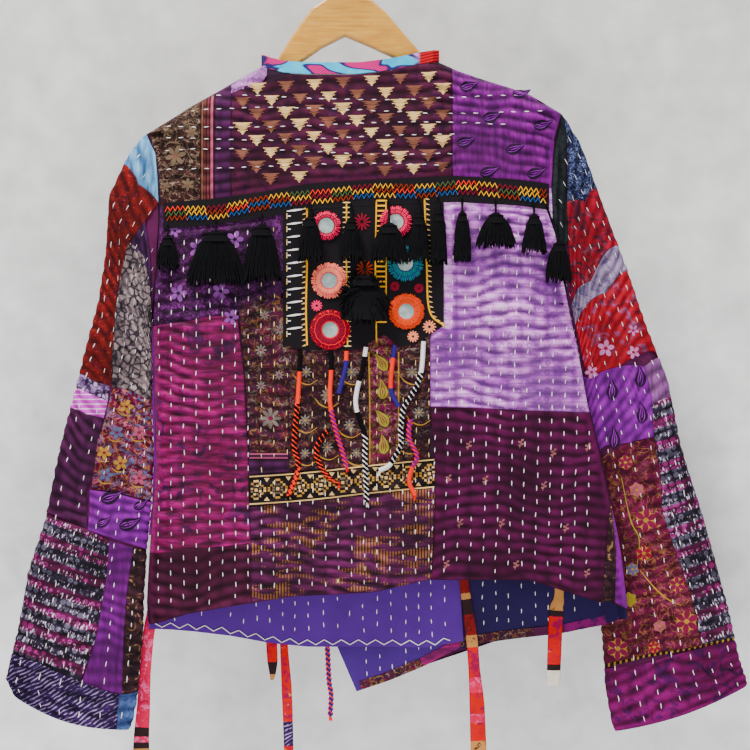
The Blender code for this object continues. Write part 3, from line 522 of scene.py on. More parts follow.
def foldDepth(folds, x, z):
    total = 0.0 * x
    for x0, z0, x1, z1, width, depth in folds:
        length = math.hypot(x1 - x0, z1 - z0)
        ax, az = (x1 - x0) / length, (z1 - z0) / length
        t = ((x - x0) * ax + (z - z0) * az) / length
        off = (x - x0) * az - (z - z0) * ax
        total = total + depth * np.exp(-((off / width) ** 2)) * ease((t + 0.2) / 0.5) * ease((1.3 - t) / 0.5)
    return total


def bodyY(x, z, facing, depth, folds):
    x, z = np.asarray(x, float), np.asarray(z, float)
    middle = facing * (depth - 3 * (1 - ease((-143 - z) / 80)))
    wide = np.minimum(45, 0.25 * (edgeX("right", z) - edgeX("left", z)))
    y, calm = middle + 0.0 * x, 1.0
    for side, way in (("left", 1), ("right", -1)):
        q = np.clip(way * (x - edgeX(side, z)) / wide, 0, 1)
        arm = armholeDepth(side, z)
        soft = np.minimum(1, 0.25 * arm)
        profile = (1 - soft) * np.sqrt(1 - (1 - q) ** 2) + soft * np.sin(q * math.pi / 2)
        seam = 0.0 if side == "left" else np.interp(-z, -sections["rightZ"], sections["seamY"])
        y = y + (seam + facing * (arm + 0.15) - middle) * (1 - profile)
        calm = calm * ease(q)
    return y + calm * foldDepth(folds, x, z)


def backY(x, z):
    return bodyY(x, z, -1, depths["back"], backFolds)


# 1 on open cloth and 0 under the trim and the mirror-work patch.
def calmZone(x, z):
    top = lineAt(x, trimTop)
    trim = ease((z - top - 1) / 7) + ease((top - 28 - z) / 7)
    up = z - lineAt(x, mirrorBottom) + 8
    inside = ease((x + 76) / 8) * ease((115 - x) / 8) * ease(up / 8) * ease((top - z) / 5)
    return np.clip(trim, 0, 1) * (1 - inside)


quiltLooks = {"ridges": 11.4, "stitchRows": 13.6, "pinch": 0.4, "sharp": 0.62, "cross": 0.24}


# Height of the puckers between rows of running stitch: b runs across the ridges.
def quilt(a, b, seed=0.0):
    wander = 5.5 * np.sin(a / 44 + b / 52 + 1.7 * seed) + 2.2 * np.sin(a / 17 - b / 29 + seed)
    wander = wander + 2.6 * np.sin(a / 31 + seed) + 1.7 * np.sin(a / 12.5 + b / 38 + 2 * seed)
    wander = wander + 0.9 * np.sin(a / 6.3 - b / 21)
    ridge = 0.5 + 0.5 * np.cos(2 * math.pi * (b + wander) / quiltLooks["ridges"])
    strength = 0.62 + 0.38 * np.sin(a / 25 + b / 43 + 3 * seed) * np.sin(a / 57 - b / 29 + seed)
    row = quiltLooks["stitchRows"]
    pinch = 1 - quiltLooks["pinch"] * np.exp(-(((a % row) - row / 2) / 2.2) ** 2)
    cross = quiltLooks["cross"] * np.sin(a / 4.1 + b / 9 + seed) * np.sin(b / 5.3)
    return ridge ** quiltLooks["sharp"] * strength * pinch + cross * strength


deepLooks = {"cotton": 1.9, "magenta": 1.3, "bars": 0.8, "lilac": 2.1}


# How deep the puckers are: most on the silky patches.
def backDeep(x, z):
    lilac = ease((x - 86) / 8) * ease((z + 506) / 8)
    magenta = ease((-96 - x) / 8) * ease((-396 - z) / 8) * ease((z + 656) / 8)
    bars = ease((-572 - z) / 8) * ease((98 - x) / 8) * ease((x + 100) / 8)
    silky = np.clip(magenta + deepLooks["bars"] * bars, 0, 1)
    return deepLooks["cotton"] + deepLooks["magenta"] * silky + deepLooks["lilac"] * lilac


def backPucker(x, z):
    near = ease(np.minimum(x - edgeX("left", z), edgeX("right", z) - x) / 9)
    return near * calmZone(x, z), quilt(x, z, 0.4)


def backSkin(x, z, lift=0.0):
    near, high = backPucker(x, z)
    return backY(x, z) - 0.25 - near * (1.0 + high * backDeep(x, z)) - lift


def frontSkin(side):
    def skin(x, z, lift=0.0):
        near = ease(np.minimum(x - edgeX("left", z), edgeX("right", z) - x) / 9)
        up = 0.25 + near * (1.2 + 1.3 * quilt(x, z, 1.9)) + lift
        return bodyY(x, z, 1, depths[side], frontFolds) + up

    return skin


# One sleeve's surface: v runs from the armhole to the cuff and turn round it from the outer edge.
class Sleeve:
    def __init__(self, side, table, bow, folds):
        self.side, self.table, self.bow, self.folds = side, table, bow, folds
        self.last = len(table) - 1
        middle = (table[:, 0:2] + table[:, 2:4]) / 2
        self.run = np.concatenate([[0], np.cumsum(np.linalg.norm(np.diff(middle, axis=0), axis=1))])
        v, turn = np.meshgrid(np.linspace(0, self.last, 420), np.linspace(0.0, math.pi, 110), indexing="ij")
        self.v, self.turn = v, turn
        self.base = self.points(v, turn)
        skin = self.skin(v, turn)
        self.x0, self.z0, self.cell = skin[..., 0].min() - 4, skin[..., 2].min() - 4, 1.6
        wide = int((skin[..., 0].max() + 4 - self.x0) / self.cell) + 2
        high = int((skin[..., 2].max() + 4 - self.z0) / self.cell) + 2
        raster = np.full((wide, high), np.inf)
        i = ((skin[..., 0] - self.x0) / self.cell).astype(int)
        j = ((skin[..., 2] - self.z0) / self.cell).astype(int)
        np.minimum.at(raster, (i, j), skin[..., 1])
        for _ in range(6):
            hole = ~np.isfinite(raster)
            near = np.stack([np.roll(raster, s, a) for s in (-1, 1) for a in (0, 1)])
            good = np.isfinite(near)
            mean = np.where(good, near, 0).sum(0) / np.maximum(good.sum(0), 1)
            raster[hole & (good.sum(0) > 0)] = mean[hole & (good.sum(0) > 0)]
        raster[~np.isfinite(raster)] = np.nanmax(raster[np.isfinite(raster)])
        self.raster = raster

    def points(self, v, turn, lift=0.0):
        v, turn = np.broadcast_arrays(np.asarray(v, float), np.asarray(turn, float))
        row = [np.interp(v, np.arange(self.last + 1), self.table[:, k]) for k in range(6)]
        share = (1 - np.cos(turn)) / 2
        deep = -np.sin(turn)
        cx, cz = row[2] - row[0], row[3] - row[1]
        size = np.hypot(cx, cz)
        cx, cz = cx / size, cz / size
        x = row[0] + cx * size * share
        z = row[1] + cz * size * share
        y = row[4] + row[5] * np.sign(deep) * np.abs(deep) ** 0.7
        out = -np.sign(np.cos(turn)) * np.abs(np.cos(turn)) ** 3
        up = np.sign(deep) * np.sqrt(1 - out**2)
        x, z, y = x + cx * out * lift, z + cz * out * lift, y + up * lift
        straight = self.table[0, 0] + (self.table[0, 2] - self.table[0, 0]) * share
        rim = self.table[0, 1] + (self.table[0, 3] - self.table[0, 1]) * share
        near = np.maximum(0, 1 - v / 4) ** 1.5
        x = x + (edgeX(self.side, rim) - straight) * near + (-0.3 if self.side == "left" else 0.3) * (v < 0.02)
        flip = np.where(-cx > 0, -1, 1)
        dip = self.bow * np.sin(math.pi * share) * np.maximum(0, (v - self.last + 4) / 4) ** 2
        x, z = x + cz * flip * dip, z - cx * flip * dip
        y = y + foldDepth(self.folds, x, z) * np.abs(np.sin(turn)) * np.where(deep < 0, 1, -0.7) * (v > 0.02)
        return np.stack([x, y, z], axis=-1)

    def pucker(self, v, turn):
        along = np.interp(v, np.arange(self.last + 1), self.run)
        around = (1 - np.cos(turn)) * 70 + 40 * np.sign(np.sin(turn))
        rim = ease(v / 0.25) * ease((self.last - v) / 0.15)
        return rim, quilt(around, along, 2.2 if self.side == "left" else 5.1)

    def skin(self, v, turn, lift=0.0):
        rim, high = self.pucker(v, turn)
        return self.points(v, turn, 0.4 + rim * (0.85 + 2.0 * high) + lift)

    def y(self, x, z):
        i = np.clip((np.asarray(x) - self.x0) / self.cell - 0.5, 0, self.raster.shape[0] - 2)
        j = np.clip((np.asarray(z) - self.z0) / self.cell - 0.5, 0, self.raster.shape[1] - 2)
        a, b = i.astype(int), j.astype(int)
        s, t = i - a, j - b
        r = self.raster
        return (r[a, b] * (1 - s) + r[a + 1, b] * s) * (1 - t) + (r[a, b + 1] * (1 - s) + r[a + 1, b + 1] * s) * t

    # V and turn of a place on the side that faces the camera.
    def find(self, x, z):
        off = (self.base[..., 0] - x) ** 2 + (self.base[..., 2] - z) ** 2
        k = np.unravel_index(np.argmin(off), off.shape)
        return float(self.v[k]), float(self.turn[k])


leftSleeve = Sleeve("left", leftSleeveTable, 9, leftSleeveFolds)
rightSleeve = Sleeve("right", rightSleeveTable, 6, rightSleeveFolds)
print("surfaces ready")


# Bilinear grid over a small grid of control points, with an extra line close to each border.
def spread(control, stepA, stepB):
    control = np.asarray(control, float)
    rows, columns = control.shape[:2]

    def stations(size, lengths, step):
        at = []
        for k in range(size - 1):
            count = max(1, math.ceil(lengths[k] / step))
            at += [k + s / count for s in range(count)]
        at.append(size - 1)
        total = max(sum(lengths), 1)
        if total > 8:
            first = 1.3 / lengths[0] if lengths[0] > 3 else 0
            last = 1.3 / lengths[-1] if lengths[-1] > 3 else 0
            at += [first, size - 1 - last]
        return np.unique(np.round(at, 5))

    down = [float(np.linalg.norm(control[r + 1] - control[r], axis=-1).max()) for r in range(rows - 1)]
    over = [float(np.linalg.norm(control[:, c + 1] - control[:, c], axis=-1).max()) for c in range(columns - 1)]
    r, c = np.meshgrid(stations(rows, down, stepB), stations(columns, over, stepA), indexing="ij")
    i, j = np.minimum(r.astype(int), rows - 2), np.minimum(c.astype(int), columns - 2)
    s, t = (r - i)[..., None], (c - j)[..., None]
    top = control[i, j] * (1 - t) + control[i, j + 1] * t
    low = control[i + 1, j] * (1 - t) + control[i + 1, j + 1] * t
    return top * (1 - s) + low * s


# 1 inside a patch and 0 on its border, where the seam draws the cloth in.
def seamDip(shape):
    inside = np.ones(shape)
    inside[0] = inside[-1] = 0
    inside[:, 0] = inside[:, -1] = 0
    return inside


def bodyPatch(gather, control, skin, material, tuck=False, flip=False):
    grid = spread(control, 3.6, 2.1)
    x, z = grid[..., 0], grid[..., 1]
    x = np.clip(x, edgeX("left", z) + 0.1, edgeX("right", z) - 0.1)
    inside = seamDip(x.shape)
    y = skin(x, z, (inside - 1) * 0.75)
    near, high = backPucker(x, z) if skin is backSkin else (1.0, quilt(x, z, 1.9))
    # Valley sets the painted shade of the cloth: it grows between the ridges and is 0.8 on the seams round the patch.
    valley = near * (1 - np.clip(high, 0, 1)) * inside + 0.8 * (1 - inside)
    points = np.stack([x, y, z], axis=-1)
    if tuck:
        under = points[-1:].copy()
        under[..., 1] += 1.6 if skin is backSkin else -1.6
        points = np.concatenate([points, under])
        valley = np.concatenate([valley, valley[-1:]])
    faces = gridFaces(*points.shape[:2])
    gather.add(points.reshape(-1, 3), faces if not flip else faces[:, ::-1], material, valley)


def sleeveGrid(gather, sleeve, v, turn, material, cuff):
    inside = seamDip(v.shape)
    rim, high = sleeve.pucker(v, turn)
    # Valley sets the painted shade of the cloth: it grows between the ridges and is 0.8 on the seams round the patch.
    valley = rim * (1 - np.clip(high, 0, 1)) * inside + 0.8 * (1 - inside)
    points = sleeve.skin(v, turn, (inside - 1) * 0.7)
    if cuff:
        points = np.concatenate([points, sleeve.points(v[-1:], turn[-1:], -1.2)])
        valley = np.concatenate([valley, valley[-1:]])
    gather.add(points.reshape(-1, 3), gridFaces(*points.shape[:2]), material, valley)


# Millimetres, about, in a step of v and in a radian of turn, and how far round the edges the seen patches go.
sleeveScale, edgeTurn = np.array((45.0, 42.0)), 0.22


# Edges names the borders on the sleeve's own edges: o outer, i inner, t armhole, c cuff.
def sleevePatch(gather, sleeve, control, material, edges=""):
    control = np.asarray(control, float)
    found = np.array([[sleeve.find(*place) for place in row] for row in control])
    outer, inner = (0, -1) if sleeve.side == "left" else (-1, 0)
    if "o" in edges:
        found[:, outer, 1] = -edgeTurn
    if "i" in edges:
        found[:, inner, 1] = math.pi + edgeTurn
    if "t" in edges:
        found[0, :, 0] = 0.0
    if "c" in edges:
        found[-1, :, 0] = sleeve.last
    grid = spread(found * sleeveScale, 4.0, 2.2) / sleeveScale
    v, turn = grid[..., 0], grid[..., 1]
    sleeveGrid(gather, sleeve, v, turn, material, "c" in edges)


# Fabrics


def plain(name, a, b, size=26, rough=0.8, low=0.35, high=0.7, **rest):
    c = Cloth(name, rough)
    return c.finish(c.two(c.noise(size, 4), low, high, a, b), **rest)


# Shiny cloth with uneven threads across it, and crushed streaks.
def silk(name, a, b, turned=False, third=None, rough=0.5):
    c = Cloth(name, rough)
    place = c.moved(2.2, 1, 0.35) if turned else c.moved(0.35, 1, 2.2)
    streak = c.noise(9, 4, 0.6, place, 0.6)
    colour = c.two(streak, 0.36, 0.64, a, b)
    if third:
        colour = c.mix(c.noise(19, 3, 0.5, twist=1.0).step(0.56, 0.66) * 0.8, colour, srgb(third))
    return c.finish(colour, weave=0.1, bump=0.3, sheen=0.05)


def batik(name, base, marks, size=11, low=0.5, high=0.6, twist=1.2, rough=0.8, fleck=None):
    c = Cloth(name, rough)
    colour = srgb(base)
    for k, (mark, level) in enumerate(marks):
        field = c.noise(size * (1 + 0.4 * k), 5, 0.6, c.moved(1, 1, 1.1 + 0.3 * k), twist)
        colour = c.mix(field.step(low + level, high + level), colour, srgb(mark))
    if fleck:
        colour = c.mix(c.noise(2.6, 2, 0.6).step(0.63, 0.68), colour, srgb(fleck))
    return c.finish(colour)


# Winding stems that follow the height lines of a noise, in several colours.
def scroll(name, base, lines, size=15, width=0.035, ground=None, twist=2.0, rough=0.8):
    c = Cloth(name, rough)
    colour = c.two(c.noise(18, 3), 0.4, 0.65, base, ground or base)
    for k, (line, level) in enumerate(lines):
        field = c.noise(size * (1 + 0.23 * k), 2.0, 0.45, c.moved(1, 1, 1 + 0.2 * k), twist)
        off = (field - level).math("ABSOLUTE")
        broken = c.noise(6 + 2 * k, 2).step(0.36, 0.5)
        colour = c.mix(off.step(width, 0.3 * width) * broken, colour, srgb(line))
    return c.finish(colour)


def crackle(name, base, line, size=6, width=0.12, ground=None):
    c = Cloth(name)
    shift = c.make("ShaderNodeTexNoise", {}, {"Vector": c.place, "Scale": 0.12}, 1)
    warped = c.make("ShaderNodeVectorMath", {"operation": "ADD"}, {0: c.place, 1: shift})
    edge = c.cells(size, "DISTANCE_TO_EDGE", warped)
    colour = c.two(c.noise(14, 4), 0.38, 0.66, base, ground or base)
    return c.finish(c.mix(edge.step(width, width * 0.3) * c.noise(9, 2).step(0.32, 0.5), colour, srgb(line)))


# Printed loops in slanting rows, grey and white on black, with a pink row now and then.
def knit(name, angle):
    c = Cloth(name)
    turned = c.turned(angle)
    b = c.part(turned, 2)
    near = c.cells(7.4, "F1", turned, 0.3)
    disc = near.step(0.5, 0.38)
    pink = c.wave(b, 23).step(0.5, 0.72)
    loops = c.wave(near, 0.2) * 0.7
    middle = c.mix(pink, srgb((112, 108, 124)), srgb((172, 62, 136)))
    ground = c.mix(pink, srgb((40, 32, 46)), srgb((84, 30, 62)))
    colour = c.mix(disc, ground, c.mix(loops, middle, srgb((52, 42, 58))))
    dash = c.noise(2.0, 2, 0.5, c.moved(1.15, 1, 0.34, turned)).step(0.57, 0.64) * c.wave(b, 11.5).step(0.3, 0.6)
    return c.finish(c.mix(dash * 0.92, colour, srgb((226, 214, 228))))


# Short printed strokes in slanting rows.
def strokes(name, base, mark, angle, ground, gap=3.9):
    c = Cloth(name)
    turned = c.turned(angle)
    across = c.part(turned, 2) + c.noise(24, 2) * 9
    broken = c.noise(2.1, 2, 0.5, c.moved(0.28, 1, 1.1, turned)).step(0.44, 0.56)
    line = c.wave(across, gap).step(0.52, 0.86) * broken
    colour = c.two(c.noise(14, 3), 0.36, 0.66, base, ground)
    return c.finish(c.mix(line * 0.9, colour, srgb(mark)))


# Crushed silky print with small circles in rows, with painted shade along creases, in the quilting's valleys and in
# wavy lines across, and a painted highlight on the ridges.
def lilacPrint(name):
    c = Cloth(name, 0.5)
    streak = c.noise(14, 4, 0.6, c.moved(0.6, 1, 1.4), 0.8)
    colour = c.two(streak, 0.34, 0.66, (236, 170, 234), (168, 84, 180))
    # Painted shade: thin dark purple lines along winding creases.
    creaseShade = (c.noise(46, 2, 0.4, c.moved(0.7, 1, 1.3), 1.4) - 0.5).math("ABSOLUTE").step(0.05, 0.008)
    colour = c.mix(creaseShade * c.noise(30, 1).step(0.34, 0.46) * 0.3, colour, srgb((116, 46, 140)))
    near = c.cells(9.5, "F1", c.moved(1, 0, 1), 0.22)
    ring = near.step(0.36, 0.28) * near.step(0.12, 0.2)
    colour = c.mix(ring * c.noise(20, 1).step(0.4, 0.55) * 0.5, colour, srgb((112, 42, 134)))
    valley = c.valley()
    # Painted shade in the quilting's valleys.
    colour = c.mix(valley.step(0.45, 0.95) * 0.62, colour, srgb((112, 44, 136)))
    # Painted highlight on the ridge tops.
    colour = c.mix(valley.step(0.3, 0.05) * streak.step(0.6, 0.4) * 0.5, colour, srgb((250, 214, 246)))
    # Painted shade: dark wavy lines across, 9.5 mm apart, for the shaded folds of the crinkled cloth.
    line = c.wave(c.z + c.noise(40) * 9, 9.5).step(0.88, 0.98)
    return c.finish(c.mix(line * 0.5, colour, srgb((124, 56, 146))), bump=0.35)


# Plum with stepped motifs woven in short upright gold dashes.
def barCloth(name):
    c = Cloth(name, 0.7)
    streak = c.noise(12, 4, 0.6, c.moved(0.4, 1, 2.0), 0.5)
    colour = c.two(streak, 0.38, 0.64, (92, 34, 74), (52, 18, 44))
    cluster = c.noise(34, 2, 0.5, c.moved(0.8, 1, 1.1)).step(0.5, 0.56)
    motif = cluster * c.noise(12, 3, 0.6, c.moved(0.5, 1, 2.2)).step(0.47, 0.53)
    dash = c.wave(c.x, 3.1).step(0.35, 0.6)
    return c.finish(c.mix(motif * dash * 0.8, colour, srgb((172, 128, 78))))


# Lengthwise stripes: each band is a colour and where it starts and ends in the period.
def striped(name, bands, across=True, period=24.0):
    c = Cloth(name)
    at = (c.x if across else c.z).math("MODULO", period).math("ABSOLUTE") / period
    colour = srgb(bands[0][0])
    for tone, low, high in bands[1:]:
        inside = at.step(low, low + 0.03) * at.step(high, high - 0.03)
        colour = c.mix(inside, colour, srgb(tone))
    return c.finish(colour)


# Turquoise with long magenta leaves, striated and outlined in navy, and lilac scallops to the right.
def neckPrint(name):
    c = Cloth(name)
    slant = c.moved(0.55, 0.2, 1.3)
    field = c.noise(26, 1.0, 0.4, slant, 0.6)
    leaf = field.step(0.53, 0.55)
    rim = field.step(0.5, 0.52) * field.step(0.58, 0.55)
    veins = c.wave(c.x * 0.7 + c.z * 1.4, 2.6).step(0.3, 0.6)
    inner = c.mix(veins, srgb((206, 64, 124)), srgb((150, 40, 96)))
    right = c.x.step(64, 68) * c.x.step(84, 80)
    scallops = right * c.noise(9, 1.0).step(0.48, 0.52)
    ground = c.two(c.noise(12), 0.35, 0.7, (100, 186, 214), (78, 166, 200))
    colour = c.mix(scallops, ground, srgb((190, 150, 206)))
    colour = c.mix(rim, c.mix(leaf, colour, inner), srgb((40, 36, 88)))
    stripes = c.mix(c.wave(c.z - c.x * 0.3, 3.0).step(0.4, 0.6), srgb((196, 44, 52)), srgb((120, 24, 38)))
    return c.finish(c.mix(c.x.step(76, 79), colour, stripes))


def solid(name, colour, rough=0.8, weave=0.12, **rest):
    c = Cloth(name, rough)
    return c.finish(c.mix(0.0, srgb(colour), srgb(colour)), weave=weave, **rest)


fabrics = {
    "brocade": scroll("brocade", (54, 28, 28), (((142, 122, 104), 0.5), ((98, 72, 62), 0.42),
            ((150, 132, 116), 0.6)), 13, 0.03, (40, 22, 26)),
    "stripeBand": striped("stripe band", (((62, 30, 32), 0, 1), ((92, 52, 48), 0.1, 0.3), ((40, 20, 26), 0.5, 0.62),
            ((132, 62, 72), 0.86, 0.98)), period=13.0),
    "plum": plain("plum", (78, 28, 62), (62, 22, 50)),
    "plumBand": plain("plum band", (70, 28, 66), (52, 20, 50)),
    "fanGround": batik("fan ground", (70, 26, 48), (((52, 18, 46), 0.0),), 9, twist=0.4),
    "violet": silk("violet silk", (124, 34, 126), (84, 14, 92), True, rough=0.7),
    "darkPrint": scroll("dark print", (48, 20, 46), (((92, 46, 98), 0.5), ((118, 50, 120), 0.6),
            ((28, 13, 30), 0.42)), 10, 0.04, (66, 26, 66)),
    "magenta": silk("magenta silk", (150, 6, 100), (84, 4, 62), third=(50, 14, 62), rough=0.62),
    "vine": scroll("vine", (46, 20, 36), (((124, 94, 58), 0.5), ((104, 26, 50), 0.58), ((118, 108, 100), 0.64)), 14,
        0.035, (66, 26, 50)),
    "centre": scroll("centre brocade", (60, 22, 38), (((112, 84, 58), 0.5), ((116, 104, 98), 0.6),
            ((40, 18, 28), 0.42)), 12, 0.034, (44, 20, 34)),
    "paisleyColumn": scroll("paisley column", (96, 26, 54), (((120, 118, 66), 0.5), ((150, 90, 110), 0.6)), 12,
        0.04, (74, 20, 44)),
    "borderGround": batik("border ground", (26, 18, 22), (((52, 36, 34), 0.02),), 6),
    "bars": barCloth("bar cloth"),
    "lilac": lilacPrint("lilac print"),
    "sprig": plain("sprig plum", (80, 20, 60), (62, 16, 46), 20, sheen=0.0),
    "maroon": plain("maroon", (78, 28, 54), (60, 22, 42)),
    "scrap": scroll("lilac scrap", (164, 112, 170), (((196, 160, 196), 0.5), ((126, 80, 140), 0.6)), 8, 0.05),
    "chambray": silk("chambray", (140, 176, 204), (86, 128, 164), True, rough=0.85),
    "rust": batik("rust batik", (112, 34, 32), (((84, 22, 32), 0.0), ((60, 20, 34), 0.07)), 8, fleck=(160, 70, 60)),
    "purpleScrap": plain("purple scrap", (66, 34, 70), (46, 22, 52), 10),
    "taupe": crackle("taupe crackle", (164, 148, 148), (44, 38, 46), 7, 0.16, (104, 92, 96)),
    "net": crackle("net print", (196, 168, 206), (40, 28, 48), 4.5, 0.2, (120, 90, 140)),
    "orchid": striped("orchid stripes", (((196, 84, 188), 0, 1), ((236, 200, 232), 0.35, 0.6)), False, 5.0),
    "plumDash": plain("plum cotton", (74, 30, 66), (56, 22, 50), 16),
    "wineFloral": scroll("wine floral", (106, 24, 54),
        (((168, 124, 92), 0.5), ((164, 96, 118), 0.6), ((110, 110, 146), 0.43)), 12, 0.05, (84, 20, 44)),
    "violetCotton": plain("violet cotton", (136, 48, 150), (106, 30, 122), 18, sheen=0.0),
    "knitLeft": knit("knit print left", -0.35),
    "knitRight": knit("knit print right", 0.3),
    "violetStrip": silk("violet strip", (122, 30, 128), (96, 18, 106), True, rough=0.75),
    "brownGold": batik("brown and gold", (58, 34, 40), (((176, 142, 104), 0.07), ((36, 20, 30), 0.0)), 9),
    "cuffIndigo": strokes("indigo cuff", (50, 26, 74), (178, 160, 192), 0.5, (34, 18, 54)),
    "denim": batik("denim scrap", (88, 106, 150), (((60, 76, 122), 0.0),), 7),
    "charcoal": batik("charcoal strip", (30, 34, 36), (((16, 18, 22), 0.0),), 8),
    "navyPrint": scroll("navy print", (28, 30, 58), (((138, 148, 184), 0.5), ((84, 94, 140), 0.6)), 6.5, 0.034,
        (20, 20, 44)),
    "redBatik": batik("red batik", (150, 38, 52), (((84, 34, 52), -0.02), ((130, 76, 92), 0.06)), 17, twist=2.0),
    "greyLavender": batik("grey lavender", (150, 134, 158), (((106, 94, 126), 0.0), ((70, 56, 84), 0.08)), 12),
    "redMauve": batik("red and mauve", (156, 42, 52), (((140, 84, 116), 0.04), ((90, 36, 56), 0.09)), 19),
    "mauve": silk("dusty mauve", (146, 92, 146), (106, 60, 110), True),
    "maroonFloral": scroll("maroon floral", (106, 30, 62),
        (((150, 112, 76), 0.5), ((130, 84, 60), 0.58), ((120, 60, 80), 0.42)), 17, 0.028, (78, 20, 42)),
    "magentaCuff": batik("magenta cuff", (114, 22, 88), (((76, 20, 76), 0.0), ((60, 20, 60), 0.08)), 15),
    "goldLine": striped("selvedge", (((30, 20, 24), 0, 1), ((186, 150, 90), 0.3, 0.7)), True, 6.0),
    "black": solid("black cotton", (20, 17, 20), 0.9),
    "turquoise": neckPrint("turquoise print"),
    "tiePrint": batik("tie print", (186, 34, 46), (((132, 24, 66), 0.01), ((232, 150, 110), 0.13)), 13),
    "tiePink": batik("pink tie print", (194, 44, 78), (((226, 110, 150), 0.03), ((110, 20, 44), 0.09)), 10),
    "tieBand": solid("banded tie", (40, 26, 28), 0.85),
    "frayed": solid("frayed tie end", (226, 216, 200), 0.9),
    "tieTan": batik("tan tie", (176, 128, 88), (((60, 36, 26), 0.08),), 7),
}
ink = {
    name: solid("ink " + name, tone, 0.75, 0.08)
    for name, tone in {
        "cream": (206, 174, 128), "brown": (112, 74, 62), "black": (24, 14, 30), "taupe": (100, 84, 70),
        "gold": (158, 120, 72), "silver": (106, 98, 92), "pink": (150, 78, 98), "blueGrey": (84, 84, 112),
        "greenGold": (138, 130, 70), "darkRed": (120, 24, 44), "maroon": (104, 28, 54), "white": (236, 230, 226),
        "sprig": (128, 84, 84), "purpleDull": (120, 70, 130), "mauve": (170, 110, 150),
    }.items()
}
thread = {
    name: solid("thread " + name, tone, 0.7, 0.2, bump=0.5, sheen=0.0)
    for name, tone in {
        "white": (240, 234, 232), "orange": (238, 76, 44), "navy": (44, 28, 104), "purple": (116, 34, 110),
        "red": (226, 54, 64), "yellow": (238, 180, 70), "pinkRed": (216, 66, 98), "salmon": (236, 148, 122),
        "darkRed": (124, 30, 46), "teal": (32, 122, 124), "rust": (204, 84, 44), "green": (78, 96, 62),
        "blue": (44, 84, 140), "redBrown": (146, 56, 40), "cream": (228, 206, 160),
    }.items()
}
thread["black"] = solid("black yarn", (6, 6, 8), 0.95, 0.3, bump=0.6)
print("fabrics ready")

# The back: control grids of each patch, top row first

